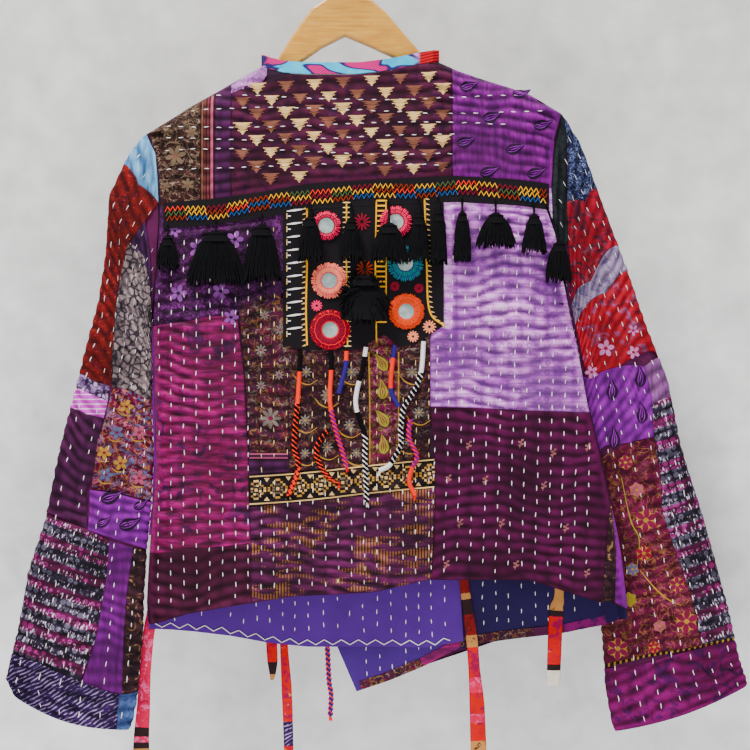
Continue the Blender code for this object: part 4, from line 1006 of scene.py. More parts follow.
backPatches = (
    ("scrap", (((-119, -164), (-104, -153), (-87, -143), (-81, -143)),
            ((-119, -174), (-104, -170), (-87, -164), (-81, -155)))),
    ("brocade", (((-206, -216), (-187, -202), (-164, -184), (-150, -178)),
            ((-198, -235), (-184, -235), (-165, -235), (-150, -235)),
            ((-194, -262), (-182, -262), (-163, -262), (-150, -262)),
            ((-192, -296), (-178, -296), (-163, -294), (-150, -292)))),
    ("stripeBand", (((-150, -178), (-142, -175), (-135, -171)), ((-150, -235), (-142, -235), (-135, -235)),
            ((-150, -292), (-142, -292), (-135, -290)))),
    ("plumBand", (((-135, -171), (-121, -163), (-118, -162)), ((-135, -235), (-125, -235), (-118, -235)),
            ((-135, -290), (-125, -288), (-118, -286)))),
    ("fanGround", (((-118, -168), (-87, -162), (-56, -154), (-22, -155), (15, -154), (48, -150), (86, -142),
                (112, -147)), ((-118, -220), (-87, -218), (-56, -216), (-22, -215), (15, -214), (48, -214),
                (86, -213), (112, -212)), ((-118, -286), (-87, -284), (-56, -279), (-22, -275), (15, -273),
                (48, -271), (86, -269), (112, -267)))),
    ("violet", (((112, -147), (136, -155), (174, -166), (207, -178), (227, -193)),
            ((112, -210), (136, -212), (174, -214), (200, -216), (219, -220)),
            ((112, -267), (136, -267), (174, -269), (200, -271), (216, -273)))),
    ("darkPrint", (((-193, -290), (-169, -290), (-140, -288), (-110, -286), (-63, -281)),
            ((-195, -326), (-169, -326), (-140, -326), (-110, -326), (-63, -326)),
            ((-197, -362), (-169, -362), (-140, -363), (-110, -365), (-63, -368)),
            ((-202, -416), (-169, -412), (-140, -406), (-112, -402), (-63, -388)))),
    ("magenta", (((-202, -416), (-169, -412), (-140, -406), (-112, -402)),
            ((-200, -472), (-169, -470), (-140, -468), (-105, -466)),
            ((-198, -536), (-169, -536), (-136, -536), (-101, -536)),
            ((-201, -598), (-169, -598), (-135, -598), (-99, -598)),
            ((-205, -654), (-169, -650), (-135, -647), (-98, -642)))),
    ("vine", (((-112, -388), (-87, -384), (-56, -378)), ((-106, -435), (-85, -435), (-56, -435)),
            ((-102, -494), (-83, -494), (-58, -494)), ((-100, -548), (-81, -548), (-58, -548)))),
    ("plumBand", (((-100, -548), (-81, -548), (-58, -548)), ((-100, -571), (-81, -569), (-58, -568)))),
    ("centre", (((-64, -378), (-26, -378), (22, -378)), ((-61, -436), (-26, -436), (24, -436)),
            ((-58, -494), (-26, -494), (25, -494)), ((-58, -568), (-26, -565), (26, -561)))),
    ("paisleyColumn", (((22, -378), (39, -378), (56, -378)), ((24, -436), (39, -436), (56, -436)),
            ((25, -494), (39, -494), (56, -494)), ((26, -561), (39, -560), (56, -558)))),
    ("centre", (((56, -378), (72, -378), (89, -378)), ((56, -436), (72, -436), (89, -436)),
            ((56, -494), (72, -494), (89, -494)), ((56, -558), (72, -555), (88, -554)))),
    ("borderGround", (((-101, -571), (-54, -568), (-13, -564), (28, -560), (94, -554)),
            ((-100, -604), (-54, -600), (-13, -595), (28, -591), (94, -584)))),
    ("bars", (((-99, -604), (-54, -600), (-13, -595), (28, -591), (94, -584)),
            ((-98, -640), (-54, -636), (-13, -634), (28, -631), (93, -626)),
            ((-98, -672), (-54, -668), (-13, -666), (28, -663), (91, -657)),
            ((-97, -704), (-54, -697), (-13, -695), (29, -693), (90, -679)))),
    ("lilac", (((84, -267), (131, -267), (182, -269), (216, -271)),
            ((87, -326), (131, -326), (184, -326), (222, -328)),
            ((89, -378), (131, -378), (189, -378), (230, -374)),
            ((89, -436), (131, -436), (192, -436), (243, -436)),
            ((89, -500), (136, -501), (194, -504), (256, -506)))),
    ("sprig", (((89, -500), (136, -501), (194, -504), (256, -506)),
            ((93, -546), (142, -546), (200, -548), (266, -550)),
            ((94, -598), (144, -598), (203, -601), (277, -601)),
            ((93, -640), (144, -640), (203, -643), (272, -645)),
            ((90, -680), (131, -680), (192, -680), (267, -704)))),
    ("brownGold", (((277, -601), (280, -601), (282, -605)), ((272, -645), (279, -647), (284, -649)),
            ((267, -704), (275, -701), (281, -704)))),
    ("violetStrip", (((278, -601), (285, -630)), ((282, -649), (289, -662)), ((281, -704), (295, -711)))),
    ("maroon", (((-205, -654), (-169, -650), (-135, -647), (-97, -642)),
            ((-208, -693), (-169, -689), (-135, -687), (-97, -682)),
            ((-203, -728), (-163, -715), (-133, -710), (-97, -704)))),
)
backGather = Gather()
for name, control in backPatches:
    atHem = name in ("bars", "sprig", "maroon", "violetStrip", "brownGold")
    bodyPatch(backGather, control, backSkin, fabrics[name], tuck=atHem)
backPiece = backGather.piece("back_patchwork", "back_cloth")
print("back ready")

leftPatches = (
    ("chambray", "ot", (((-208, -214), (-203, -224), (-198, -235)), ((-222, -231), (-207, -242), (-195, -260)),
            ((-235, -253), (-215, -269), (-194, -288)))),
    ("rust", "o", (((-235, -253), (-215, -269), (-194, -288)), ((-245, -278), (-226, -296), (-208, -307)),
            ((-251, -315), (-238, -323), (-222, -326)))),
    ("rust", "o", (((-251, -315), (-238, -321), (-222, -326)), ((-250, -350), (-240, -350), (-229, -349)),
            ((-254, -375), (-245, -375), (-237, -375)), ((-261, -407), (-250, -407), (-240, -404)),
            ((-270, -435), (-255, -436), (-242, -436)), ((-277, -470), (-259, -475), (-244, -479)))),
    ("purpleScrap", "i", (((-208, -306), (-194, -288)), ((-224, -329), (-194, -326)),
            ((-215, -342), (-196, -359)))),
    ("taupe", "i", (((-224, -329), (-209, -344), (-196, -361)), ((-234, -362), (-215, -370), (-198, -378)),
            ((-240, -400), (-219, -407), (-202, -412)), ((-243, -441), (-222, -445), (-204, -449)),
            ((-243, -481), (-224, -483), (-204, -486)))),
    ("net", "o", (((-277, -470), (-259, -475), (-245, -479)), ((-280, -485), (-262, -489), (-247, -494)))),
    ("orchid", "o", (((-280, -485), (-262, -489), (-247, -494)), ((-285, -505), (-268, -508), (-251, -512)))),
    ("plumDash", "o", (((-285, -505), (-268, -508), (-251, -512)), ((-296, -540), (-276, -540), (-258, -536)),
            ((-302, -568), (-280, -568), (-260, -566)), ((-309, -590), (-287, -590), (-269, -589)),
            ((-313, -611), (-289, -620), (-269, -628)))),
    ("wineFloral", "i", (((-243, -481), (-224, -483), (-204, -486)), ((-251, -513), (-228, -519), (-205, -525)),
            ((-258, -536), (-232, -544), (-203, -558)), ((-265, -585), (-238, -589), (-205, -595)))),
    ("violetCotton", "i", (((-266, -586), (-238, -590), (-203, -596)), ((-267, -607), (-243, -613), (-205, -624)),
            ((-268, -629), (-245, -637), (-207, -650)))),
    ("knitLeft", "o", (((-313, -611), (-291, -620), (-269, -628), (-246, -640)),
            ((-330, -673), (-303, -674), (-276, -676), (-249, -680)),
            ((-342, -738), (-316, -739), (-285, -737), (-258, -736)),
            ((-349, -756), (-324, -766), (-301, -777), (-276, -788)))),
    ("violetStrip", "", (((-246, -640), (-234, -644), (-222, -648)), ((-249, -680), (-238, -682), (-228, -691)),
            ((-258, -736), (-247, -739), (-232, -746)), ((-274, -788), (-253, -795), (-234, -801)))),
    ("brownGold", "i", (((-222, -648), (-207, -650)), ((-228, -691), (-209, -704)), ((-232, -746), (-211, -751)),
            ((-234, -801), (-218, -798)))),
    ("cuffIndigo", "oc", (((-350, -756), (-320, -768), (-274, -788), (-236, -801)),
            ((-353, -783), (-324, -798), (-280, -814), (-238, -821)),
            ((-351, -799), (-312, -821), (-272, -836), (-239, -839)))),
    ("denim", "ic", (((-236, -801), (-218, -796)), ((-238, -821), (-222, -817)), ((-239, -839), (-226, -837)))),
)
rightPatches = (
    ("charcoal", "it", (((218, -232), (227, -194), (230, -194)), ((216, -270), (224, -252), (232, -242)),
            ((217, -307), (226, -302), (233, -298)), ((223, -336), (228, -334), (234, -330)))),
    ("navyPrint", "o", (((227, -193), (231, -197), (235, -204)), ((232, -226), (240, -227), (248, -229)),
            ((233, -254), (247, -258), (258, -261)), ((233, -285), (251, -285), (269, -285)))),
    ("redBatik", "o", (((233, -285), (251, -285), (269, -285)), ((234, -326), (257, -326), (280, -321)),
            ((235, -359), (257, -355), (288, -345)), ((237, -394), (258, -369), (291, -343)))),
    ("greyLavender", "o", (((237, -394), (258, -369), (291, -343)), ((242, -414), (274, -381), (299, -368)))),
    ("redMauve", "o", (((242, -414), (274, -381), (299, -368)), ((246, -430), (274, -415), (313, -404)),
            ((250, -452), (280, -445), (322, -433)), ((255, -470), (289, -458), (330, -454)))),
    ("violetCotton", "i", (((244, -441), (255, -470), (289, -458), (315, -458)),
            ((251, -494), (259, -498), (291, -496), (323, -498)),
            ((257, -525), (272, -529), (297, -529), (326, -532)),
            ((265, -546), (274, -542), (299, -538), (326, -533)))),
    ("mauve", "o", (((315, -458), (330, -454)), ((323, -498), (343, -495)))),
    ("knitRight", "o", (((323, -498), (343, -495)), ((326, -532), (352, -536)), ((333, -569), (360, -569)),
            ((335, -612), (373, -609)), ((352, -662), (390, -659)), ((366, -699), (402, -704)),
            ((376, -752), (415, -746)))),
    ("maroonFloral", "i", (((265, -546), (294, -540), (326, -533)), ((270, -569), (301, -569), (333, -569)),
            ((277, -598), (306, -607), (335, -612)), ((285, -662), (318, -662), (352, -662)),
            ((282, -704), (324, -701), (366, -699)), ((276, -752), (326, -754), (376, -752)),
            ((274, -775), (320, -762), (400, -749)))),
    ("goldLine", "o", (((274, -774), (320, -761), (417, -743)), ((274, -777), (320, -764), (418, -747)))),
    ("magentaCuff", "oic", (((274, -777), (317, -771), (346, -762), (380, -754), (418, -747)),
            ((277, -808), (317, -802), (354, -794), (390, -783), (422, -775)),
            ((286, -844), (320, -837), (358, -826), (396, -812), (425, -798)))),
)
hiddenLeft = (
    (0, 2.2, "chambray"), (2.2, 4.4, "taupe"), (4.4, 5.6, "wineFloral"), (5.6, 7.4, "violetCotton"),
    (7.4, 9.6, "knitLeft"), (9.6, 12, "cuffIndigo"),
)
hiddenRight = (
    (0, 2.0, "navyPrint"), (2.0, 4.0, "redBatik"), (4.0, 5.6, "violetCotton"), (5.6, 8.0, "maroonFloral"),
    (8.0, 10.4, "knitRight"), (10.4, 12, "magentaCuff"),
)


def makeSleeve(name, sleeve, patches, hidden):
    gather = Gather()
    for cloth, edges, control in patches:
        sleevePatch(gather, sleeve, control, fabrics[cloth], edges)
    for start, end, cloth in hidden:
        corners = np.array([[(v, math.pi + edgeTurn), (v, 2 * math.pi - edgeTurn)] for v in (start, end)])
        grid = spread(corners * sleeveScale, 7.0, 3.6) / sleeveScale
        v, turn = grid[..., 0], grid[..., 1]
        sleeveGrid(gather, sleeve, v, turn, fabrics[cloth], end == sleeve.last)
    return gather.piece(name, "sleeve_cloth")


leftSleevePiece = makeSleeve("sleeve_left_patchwork", leftSleeve, leftPatches, hiddenLeft)
rightSleevePiece = makeSleeve("sleeve_right_patchwork", rightSleeve, rightPatches, hiddenRight)
print("sleeves ready")

# The fronts, which face away from the camera

frontPatches = {
    "left": (
        ("wineFloral", (((-208, -214), (-142, -175), (-87, -143)), ((-195, -290), (-142, -290), (-87, -290)),
                ((-200, -400), (-142, -400), (-87, -400)))),
        ("violetCotton", (((-87, -143), (-68, -160), (-41, -175), (5, -185), (58, -171)),
                ((-87, -230), (-60, -230), (-30, -230), (20, -230), (88, -230)),
                ((-87, -320), (-60, -320), (-30, -320), (20, -320), (97, -320)))),
        ("bars", (((-87, -320), (-20, -320), (97, -320)), ((-87, -400), (-20, -400), (106, -400)))),
        ("lilac", (((-202, -400), (-140, -400), (-60, -400)), ((-199, -500), (-140, -500), (-60, -500)),
                ((-199, -570), (-140, -570), (-60, -570)))),
        ("maroon", (((-60, -400), (20, -400), (106, -400)), ((-60, -570), (20, -570), (115, -570)))),
        ("magenta", (((-199, -570), (-130, -570), (-30, -570)), ((-204, -650), (-130, -650), (-30, -650)),
                ((-206, -734), (-133, -740), (-40, -754)))),
        ("sprig", (((-30, -570), (40, -570), (115, -570)), ((-35, -650), (40, -650), (120, -650)),
                ((-40, -754), (40, -754), (125, -748)))),
    ),
    "right": (
        ("fanGround", (((0, -185), (30, -181), (52, -173), (75, -160), (98, -139)),
                ((-1, -260), (30, -260), (52, -260), (75, -260), (98, -260)),
                ((-1, -340), (30, -340), (52, -340), (75, -340), (98, -340)))),
        ("brocade", (((98, -139), (149, -159), (194, -173), (227, -193)),
                ((98, -300), (149, -300), (190, -300), (217, -300)))),
        ("magenta", (((98, -300), (149, -300), (217, -300)), ((98, -400), (160, -400), (235, -400)),
                ((98, -450), (160, -450), (246, -450)))),
        ("sprig", (((-1, -340), (50, -340), (98, -340)), ((-3, -450), (50, -450), (98, -450)))),
        ("violet", (((-3, -450), (60, -450), (130, -450)), ((-5, -600), (60, -600), (130, -600)))),
        ("vine", (((130, -450), (190, -450), (246, -450)), ((130, -600), (190, -600), (277, -600)))),
        ("maroonFloral", (((-5, -600), (40, -600), (90, -600)), ((-9, -745), (40, -730), (90, -730)),
                ((-4, -760), (44, -760), (90, -750)), ((12, -802), (47, -790), (88, -773)))),
        ("bars", (((90, -600), (180, -600), (277, -600)), ((90, -680), (180, -680), (289, -665)),
                ((88, -773), (162, -748), (295, -721)))),
    ),
}
frontPieces = {}
for side, patches in frontPatches.items():
    gather = Gather()
    for cloth, control in patches:
        bodyPatch(gather, control, frontSkin(side), fabrics[cloth], tuck=True, flip=True)
    frontPieces[side] = gather.piece(f"front_{side}_patchwork", "front_cloth")
print("fronts ready")

# Printed and sewn details lie on the cloth as thin ribbons and threads

backHem = (
    (-206, -728), (-188, -720), (-163, -715), (-111, -706), (-60, -697), (0, -693), (29, -691),
    (69, -679), (131, -678), (192, -678), (228, -684), (257, -695), (295, -711),
)
leftHem = ((-206, -734), (-133, -740), (-75, -751), (-45, -754), (40, -754), (92, -755), (125, -748))
rightHem = ((12, -802), (47, -790), (81, -776), (121, -755), (162, -748), (232, -740), (270, -732), (295, -721))


# Half widths of a paisley and of the marks inside it, in parts of its length.
paisleyHalves = {
    "shape": (0.07, 0.24, 0.28, 0.24, 0.15, 0.08, 0.01),
    "ring": (0, 0.12, 0.145, 0.12, 0.06, 0.02, 0),
    "heart": (0, 0.08, 0.1, 0.075, 0.02, 0, 0),
    "dot": (0, 0.03, 0.03, 0),
}


# Flat ribbons on a surface whose y is depth(x, z), seen from the camera's side.
class Ink:
    def __init__(self, depth):
        self.gather, self.depth = Gather(), depth

    # Half is the ribbon's half width, or several of them spread evenly along it.
    def stroke(self, line, half, material, lift=0.35, step=2.3):
        if len(line) > 2:
            line = through(line, step)
        else:
            line = np.linspace(*line, max(2, round(math.dist(*line) / step) + 1))
        if np.size(half) > 1:
            half = np.interp(np.linspace(0, 1, len(line)), np.linspace(0, 1, len(half)), half)
        else:
            half = np.full(len(line), float(half))
        along = np.gradient(line, axis=0)
        along /= np.linalg.norm(along, axis=1)[:, None] + 1e-9
        side = np.stack([-along[:, 1], along[:, 0]], axis=1)
        across = np.linspace(-1, 1, 2 + int(half.max() / 1.3))
        place = line[:, None] + side[:, None] * (half[:, None] * across)[..., None]
        x, z = place[..., 0], place[..., 1]
        points = np.stack([x, self.depth(x, z) - lift, z], axis=-1)
        self.gather.add(points.reshape(-1, 3), gridFaces(*x.shape), material)

    def paisley(self, x, z, size, angle, material, eye=None):
        u = np.linspace(0, 1, 7)
        along, off = size * (u - 0.35), size * 0.26 * u**2.4
        c, s = math.cos(angle), math.sin(angle)
        line = np.stack([x + along * c - off * s, z + along * s + off * c], axis=1)
        halves = {key: [size * share for share in row] for key, row in paisleyHalves.items()}
        self.stroke(line, halves["shape"], material)
        if eye:
            self.stroke(line, halves["ring"], eye, 0.5)
            self.stroke(line, halves["heart"], material, 0.65)
            self.stroke(line[1:5], halves["dot"], eye, 0.75)

    def flower(self, x, z, size, petals, material, heart, turn=0.0, rim=None):
        for k in range(petals):
            t = turn + 2 * math.pi * k / petals
            petal = [(x + share * size * math.cos(t), z + share * size * math.sin(t)) for share in (0.15, 1)]
            wide = size * 2.2 / petals
            if rim:
                self.stroke(petal, [0.2 * wide, wide + 0.7, 0.75 * wide + 0.7, 0.2 * wide], rim, 0.3)
            self.stroke(petal, [0.2 * wide, 0.62 * wide, 0.66 * wide, 0.3 * wide], material, 0.5)
        middle = [(x - 0.24 * size, z), (x + 0.24 * size, z)]
        self.stroke(middle, [0.05 * size, 0.24 * size, 0.05 * size], heart, 0.7, 1.2)

    def sprig(self, x, z, size, material):
        stem = [(x - 0.3 * size, z - size), (x, z), (x + 0.2 * size, z + 0.8 * size)]
        self.stroke(stem, [0.3, 0.5, 0.3], material)
        for up, way in ((-0.3, 1), (0.1, -1), (0.5, 1), (-0.6, -1)):
            leaf = [(x, z + up * size), (x + way * 0.6 * size, z + (up + 0.35) * size)]
            self.stroke(leaf, [0.2, 1.5, 1.2, 0.2], material)


def trimY(x, z):
    return backY(x, z) - 2.4


def liningY(side):
    return lambda x, z: bodyY(x, z, 1, depths[side], frontFolds) - 2.35


def underTrim(x, z):
    top = lineAt(x, trimTop)
    return (top + 3 > z > top - 32) or (-70 < x < 110 and lineAt(x, mirrorBottom) - 6 < z < top)


def withinBody(place, left, right):
    x, z = place
    return edgeX("left", z) + left < x < edgeX("right", z) - right


stitchLooks = {
    "pitch": 13.6, "length": 5.4, "half": 0.48, "missed": 0.1, "backPitch": 13.4, "sleevePitch": 14,
    "sleeveRows": 21,
}
chance = np.random.default_rng(11)


# Running stitches. Lines are pairs of ends, and at(a, b, lift) gives points of the surface.
def dashes(gather, at, lines, material, half=stitchLooks["half"]):
    ends = np.array(lines, float)
    s, t = np.meshgrid(np.linspace(0, 1, 5), np.linspace(-1, 1, 3), indexing="ij")
    way = ends[:, 1] - ends[:, 0]
    side = np.stack([-way[:, 1], way[:, 0]], axis=1) / (np.linalg.norm(way, axis=1)[:, None] + 1e-9)
    width = half * (1 - 0.75 * np.abs(2 * s - 1) ** 3)
    place = ends[:, 0, None, None] + way[:, None, None] * s[None, ..., None]
    place = place + side[:, None, None] * (width * t)[None, ..., None]
    lift = 0.25 + 0.45 * (1 - t**2) * (1 - (2 * s - 1) ** 4)
    points = at(place[..., 0], place[..., 1], np.broadcast_to(lift, place.shape[:-1]))
    faces = gridFaces(5, 3)
    for one in points:
        gather.add(one.reshape(-1, 3), faces, material)


def flat(depth):
    return lambda x, z, lift: np.stack([x, depth(x, z) - lift, z], axis=-1)


def over(skin):
    return lambda x, z, lift: np.stack([x, skin(x, z, lift), z], axis=-1)


# Ends of the dashes in one row that runs down, a few of them missing.
def column(x, top, bottom, drift=0.0):
    length = stitchLooks["length"]
    made, z = [], top - chance.uniform(0, 9)
    while z - length > bottom:
        if chance.random() > stitchLooks["missed"]:
            a = x + drift * (top - z) + chance.uniform(-0.6, 0.6)
            foot = (a + drift * length + chance.uniform(-0.5, 0.5), z - length * chance.uniform(0.8, 1.1))
            made.append(((a, z), foot))
        z -= stitchLooks["pitch"] * chance.uniform(0.93, 1.07)
    return made


backStitches = Gather()
lines = []
for x in np.arange(-194, 268, stitchLooks["backPitch"]):
    top = lineAt(x, trimTop) - 34
    drift = -0.03 if x > 92 else 0.0
    lines += column(float(x), float(top), float(lineAt(x, backHem)) + 4, drift)
pale = [one for one in lines if not underTrim(*one[0]) and withinBody(one[0], 5, 5)]
dull = [one for one in pale if -96 < one[0][0] < 90 and one[0][1] > -572]
pale = [one for one in pale if one not in dull]
rows = []
for z in (-178, -192, -207, -220, -235, -250):
    x = -200.0
    while x < 222:
        if chance.random() > stitchLooks["missed"]:
            dip = 3 * math.sin(x / 60 + z)
            rows.append(((x, z + dip), (x + 5.2, z + dip + chance.uniform(-0.6, 0.6))))
        x += stitchLooks["backPitch"] * chance.uniform(0.94, 1.06)


def aboveTrim(place):
    x, z = place
    return withinBody(place, 6, 12) and z > lineAt(x, trimTop) + 5 and (x < 110 or z > -208)


inside = [one for one in rows if aboveTrim(one[0])]
dashes(backStitches, flat(backSkin), pale, thread["white"])
dashes(backStitches, flat(backSkin), dull, thread["cream"], 0.42)
dashes(backStitches, flat(backSkin), inside, thread["white"])
backStitchPiece = backStitches.piece("back_running_stitch", "rosette_thread")
print("back stitches", len(pale) + len(dull) + len(inside))

# Prints on the back

onBack = Ink(backSkin)
fanTop = ((-118, -174), (-87, -164), (-47, -160), (-16, -160), (47, -158), (110, -149))
fanBars = ((4.9, 10.4, 1.0), (2.9, 7.6, 1.1), (0.8, 8.6, 0.7), (-1.0, 4.8, 1.3), (-3.2, 5.6, 0.6), (-4.8, 2.6, 1.2),
    (-6.6, 1.2, 0.9))
for i in range(-1, 9):
    for j in range(-5, 6):
        fanX, fanZ = -106 + 14.7 * j + 29.7 * i, -210 - 12.6 * j + 2 * i
        if not (-110 < fanX < 106 and lineAt(fanX, trimTop) + 9 < fanZ < lineAt(fanX, fanTop)):
            continue
        size = 0.86 + 0.1 * math.sin(5 * fanX + fanZ)
        for up, wide, thick in fanBars:
            low, high = max(-116, fanX - wide * size), min(111, fanX + wide * size)
            bar = [(low, fanZ + up * size), (fanX, fanZ + up * size - 0.5), (high, fanZ + up * size + 0.5)]
            onBack.stroke(bar, [0.4, thick, thick, 0.3], ink["brown" if i % 2 else "cream"])
for px, pz in ((127, -168), (182, -174), (151, -200), (204, -208), (124, -226), (175, -233), (148, -257),
                    (197, -258)):
    onBack.paisley(px, pz, 21, 0.1, ink["black"], fabrics["violetCotton"])
for (px, pz), size, turn in zip(((-176, -239), (-159, -215), (-187, -271), (-163, -269), (-186, -214),
                (-156, -191)), (11, 7, 6, 7, 5, 5), (0.2, 0.8, 0.1, 0.5, 1.1, 0.4)):
    onBack.flower(px, pz, size, 6, ink["taupe"], ink["brown"], turn)
    curl = [(px + a * size, pz + b * size) for a, b in ((-1.1, 0.9), (-0.5, 1.3), (0.5, 1.1))]
    onBack.stroke(curl, [0.3, 0.9, 0.3], ink["taupe"])
onBack.stroke(((-138, -175), (-138, -231), (-138, -286)), 1.3, ink["pink"])
onBack.stroke(((-148, -181), (-148, -231), (-148, -288)), 0.7, ink["brown"])
for (px, pz), size in zip(((-77, -512), (-87, -441), (-68, -467), (-87, -478), (-67, -420), (-83, -405)),
    (11, 6, 5, 5, 6, 5)):
    onBack.flower(px, pz, size, 8, ink["silver"], ink["maroon"])
for line in (((-99, -549), (-81, -549), (-59, -549)), ((-99, -553), (-81, -553), (-59, -553))):
    onBack.stroke(line, 0.8, ink["pink"])
for (px, pz), size in zip(((-40, -464), (7, -464), (-18, -488), (-41, -514), (5, -519), (-18, -542), (70, -464),
                (77, -506), (66, -536), (-41, -548), (12, -548)), (6, 6, 7, 6, 6, 6, 6, 6, 5, 5, 5)):
    onBack.flower(px, pz, size, 8, ink["silver"], ink["gold"])
    spray = [(px - 13, pz - 3), (px - 7, pz - 10), (px + 3, pz - 13), (px + 12, pz - 8)]
    onBack.stroke(spray, [0.3, 0.8, 0.5, 0.3], ink["gold"])
for k, (px, pz) in enumerate(((40, -456), (40, -485), (41, -514), (41, -542))):
    onBack.paisley(px, pz, 20, 1.4 if k % 2 else 1.9, ink["greenGold"], ink["maroon"])
for line in (((25, -443), (26, -494), (26, -559)), ((56, -443), (56, -494), (56, -556))):
    onBack.stroke(line, 0.7, ink["gold"])


def borderMiddle(x):
    return lineAt(x, ((-101, -587), (-54, -584), (-13, -580), (28, -575), (94, -569)))


for k in range(9):
    x = -92 + 22.5 * k
    for a, b in (((-1, 0), (0, 1)), ((0, 1), (1, 0)), ((1, 0), (0, -1)), ((0, -1), (-1, 0))):
        for scale, tone, count in ((1.0, "gold", 4), (0.55, "taupe", 2)):
            for n in range(count):
                share = (n + 0.5) / count
                dot = x + 10.4 * scale * (a[0] + (b[0] - a[0]) * share)
                up = borderMiddle(dot) + 10.4 * scale * (a[1] + (b[1] - a[1]) * share)
                if -98 < dot < 93:
                    dotInk = ink["cream" if (n + k) % 3 == 0 else tone]
                    onBack.stroke([(dot - 1.3, up), (dot + 1.3, up)], 1.1, dotInk)
    if x < 92:
        onBack.stroke([(x - 1.6, borderMiddle(x)), (x + 1.6, borderMiddle(x))], 1.6, ink["cream"])
    for way in (-1, 1):
        side = x + 11.2
        if side < 90:
            wedge = [(side, borderMiddle(side) + way * 11.8), (side, borderMiddle(side) + way * 8)]
            onBack.stroke(wedge, [3.0, 0.3], ink["cream"])
for off in (-14.2, 14.2):
    line = [(x, borderMiddle(x) + off) for x in (-99, -60, -20, 20, 60, 93)]
    onBack.stroke(line, 0.7, ink["cream"])
for px, pz in ((129, -540), (183, -538), (253, -542), (146, -576), (207, -582), (120, -621),
                (163, -621), (230, -626), (178, -664), (252, -673), (106, -664), (217, -548), (108, -575)):
    onBack.sprig(px, pz, 5.2, ink["sprig"])
for (px, pz), size in zip(((-118, -407), (-114, -326), (-152, -336), (-173, -382), (-85, -349), (-177, -317),
                (-129, -380)), (8, 9, 10, 9, 10, 7, 9)):
    onBack.flower(px, pz, size, 5, ink["purpleDull"], ink["black"])
backInk = onBack.gather.piece("back_print", "back_cloth")
print("back prints ready")

# Sleeves: prints on the seen side and stitches all round

onLeft, onRight = Ink(leftSleeve.y), Ink(rightSleeve.y)
for x, z, size, angle in ((-246, -596, 24, 0.15), (-227, -624, 24, 0.15), (-215, -604, 17, 0.3),
        (-253, -622, 17, 0.3)):
    onLeft.paisley(x, z, size, angle, ink["black"], fabrics["violetCotton"])
for n, (x, z) in enumerate(((-228, -500), (-215, -527), (-238, -527), (-234, -559), (-215, -575), (-249, -571),
                (-251, -548))):
    onLeft.flower(x, z, 7.5, 5, ink[("gold", "pink", "blueGrey")[n % 3]], ink["maroon"], n)
    onLeft.stroke([(x - 9, z - 5), (x - 4, z - 9), (x + 5, z - 9)], [0.3, 0.8, 0.3], ink["gold"])
for x, z in ((281, -485), (313, -510), (284, -536), (311, -472)):
    onRight.paisley(x, z, 22, 1.35, ink["black"], fabrics["violetCotton"])
flowers = ((295, -559), (307, -588), (317, -620), (315, -655), (303, -672), (350, -688), (360, -727), (332, -732),
            (326, -754), (288, -756), (300, -704))
flowerSizes = (8, 8, 13, 9, 7, 9, 13, 7, 7, 12, 8)
flowerTones = ("maroon", "pink", "maroon", "darkRed", "blueGrey", "maroon", "maroon", "pink", "darkRed", "maroon",
    "greenGold")
for (x, z), size, tone in zip(flowers, flowerSizes, flowerTones):
    onRight.flower(x, z, size, 6, ink[tone], ink["gold"], size, ink["gold"])
onRight.stroke(((311, -673), (326, -691), (341, -704), (355, -710)), [0.4, 0.9, 0.4], ink["gold"])
onRight.stroke(((291, -575), (301, -620), (310, -640), (308, -668)), [0.3, 0.7, 0.3], ink["greenGold"])
for (x, z), size in zip(((274, -439), (303, -443), (259, -464), (303, -420)), (9, 7, 7, 6)):
    onRight.flower(x, z, size, 5, ink["mauve"], ink["darkRed"], size)
leftInk = onLeft.gather.piece("sleeve_left_print", "sleeve_cloth")
rightInk = onRight.gather.piece("sleeve_right_print", "sleeve_cloth")


def sleeveStitches(name, sleeve):
    gather = Gather()
    table = sleeve.table
    widths = np.hypot(table[:, 2] - table[:, 0], table[:, 3] - table[:, 1])
    lines = []
    for way in (1, -1):
        for n in range(10):
            v = 0.35 + chance.uniform(0, 0.2)
            while v < sleeve.last - 0.2:
                wide = float(np.interp(v, np.arange(len(widths)), widths))
                rows = max(2, round(wide / stitchLooks["sleeveRows"]))
                pace = float(np.interp(v, np.arange(sleeve.last), np.diff(sleeve.run)))
                if n < rows and chance.random() > stitchLooks["missed"]:
                    turn = way * math.acos(1 - 2 * (n + 0.5) / rows)
                    lines.append(((v, turn), (v + 5.2 / pace, turn + chance.uniform(-0.01, 0.01)), wide))
                v += stitchLooks["sleevePitch"] / pace * chance.uniform(0.94, 1.06)
    s, t = np.meshgrid(np.linspace(0, 1, 5), np.linspace(-1, 1, 3), indexing="ij")
    lift = 0.25 + 0.55 * (1 - t**2) * (1 - (2 * s - 1) ** 4)
    for start, end, wide in lines:
        v = start[0] + (end[0] - start[0]) * s
        half = 0.48 / (wide / 2 * max(0.35, abs(math.sin(start[1]))))
        turn = start[1] + (end[1] - start[1]) * s + half * t * (1 - 0.75 * np.abs(2 * s - 1) ** 3)
        gather.add(sleeve.skin(v, turn, lift).reshape(-1, 3), gridFaces(5, 3), thread["white"])
    return gather.piece(name, "rosette_thread")


# A panel as it was cut before it was quilted and hung.
def sheetOf(made, flat, area, rests, extra):
    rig.sheet(made, flat=flat, held="hung", rests_on=rests, area=area, with_pieces=extra)


leftStitchPiece = sleeveStitches("sleeve_left_running_stitch", leftSleeve)
rightStitchPiece = sleeveStitches("sleeve_right_running_stitch", rightSleeve)

# Inside of the fronts below the back's hem

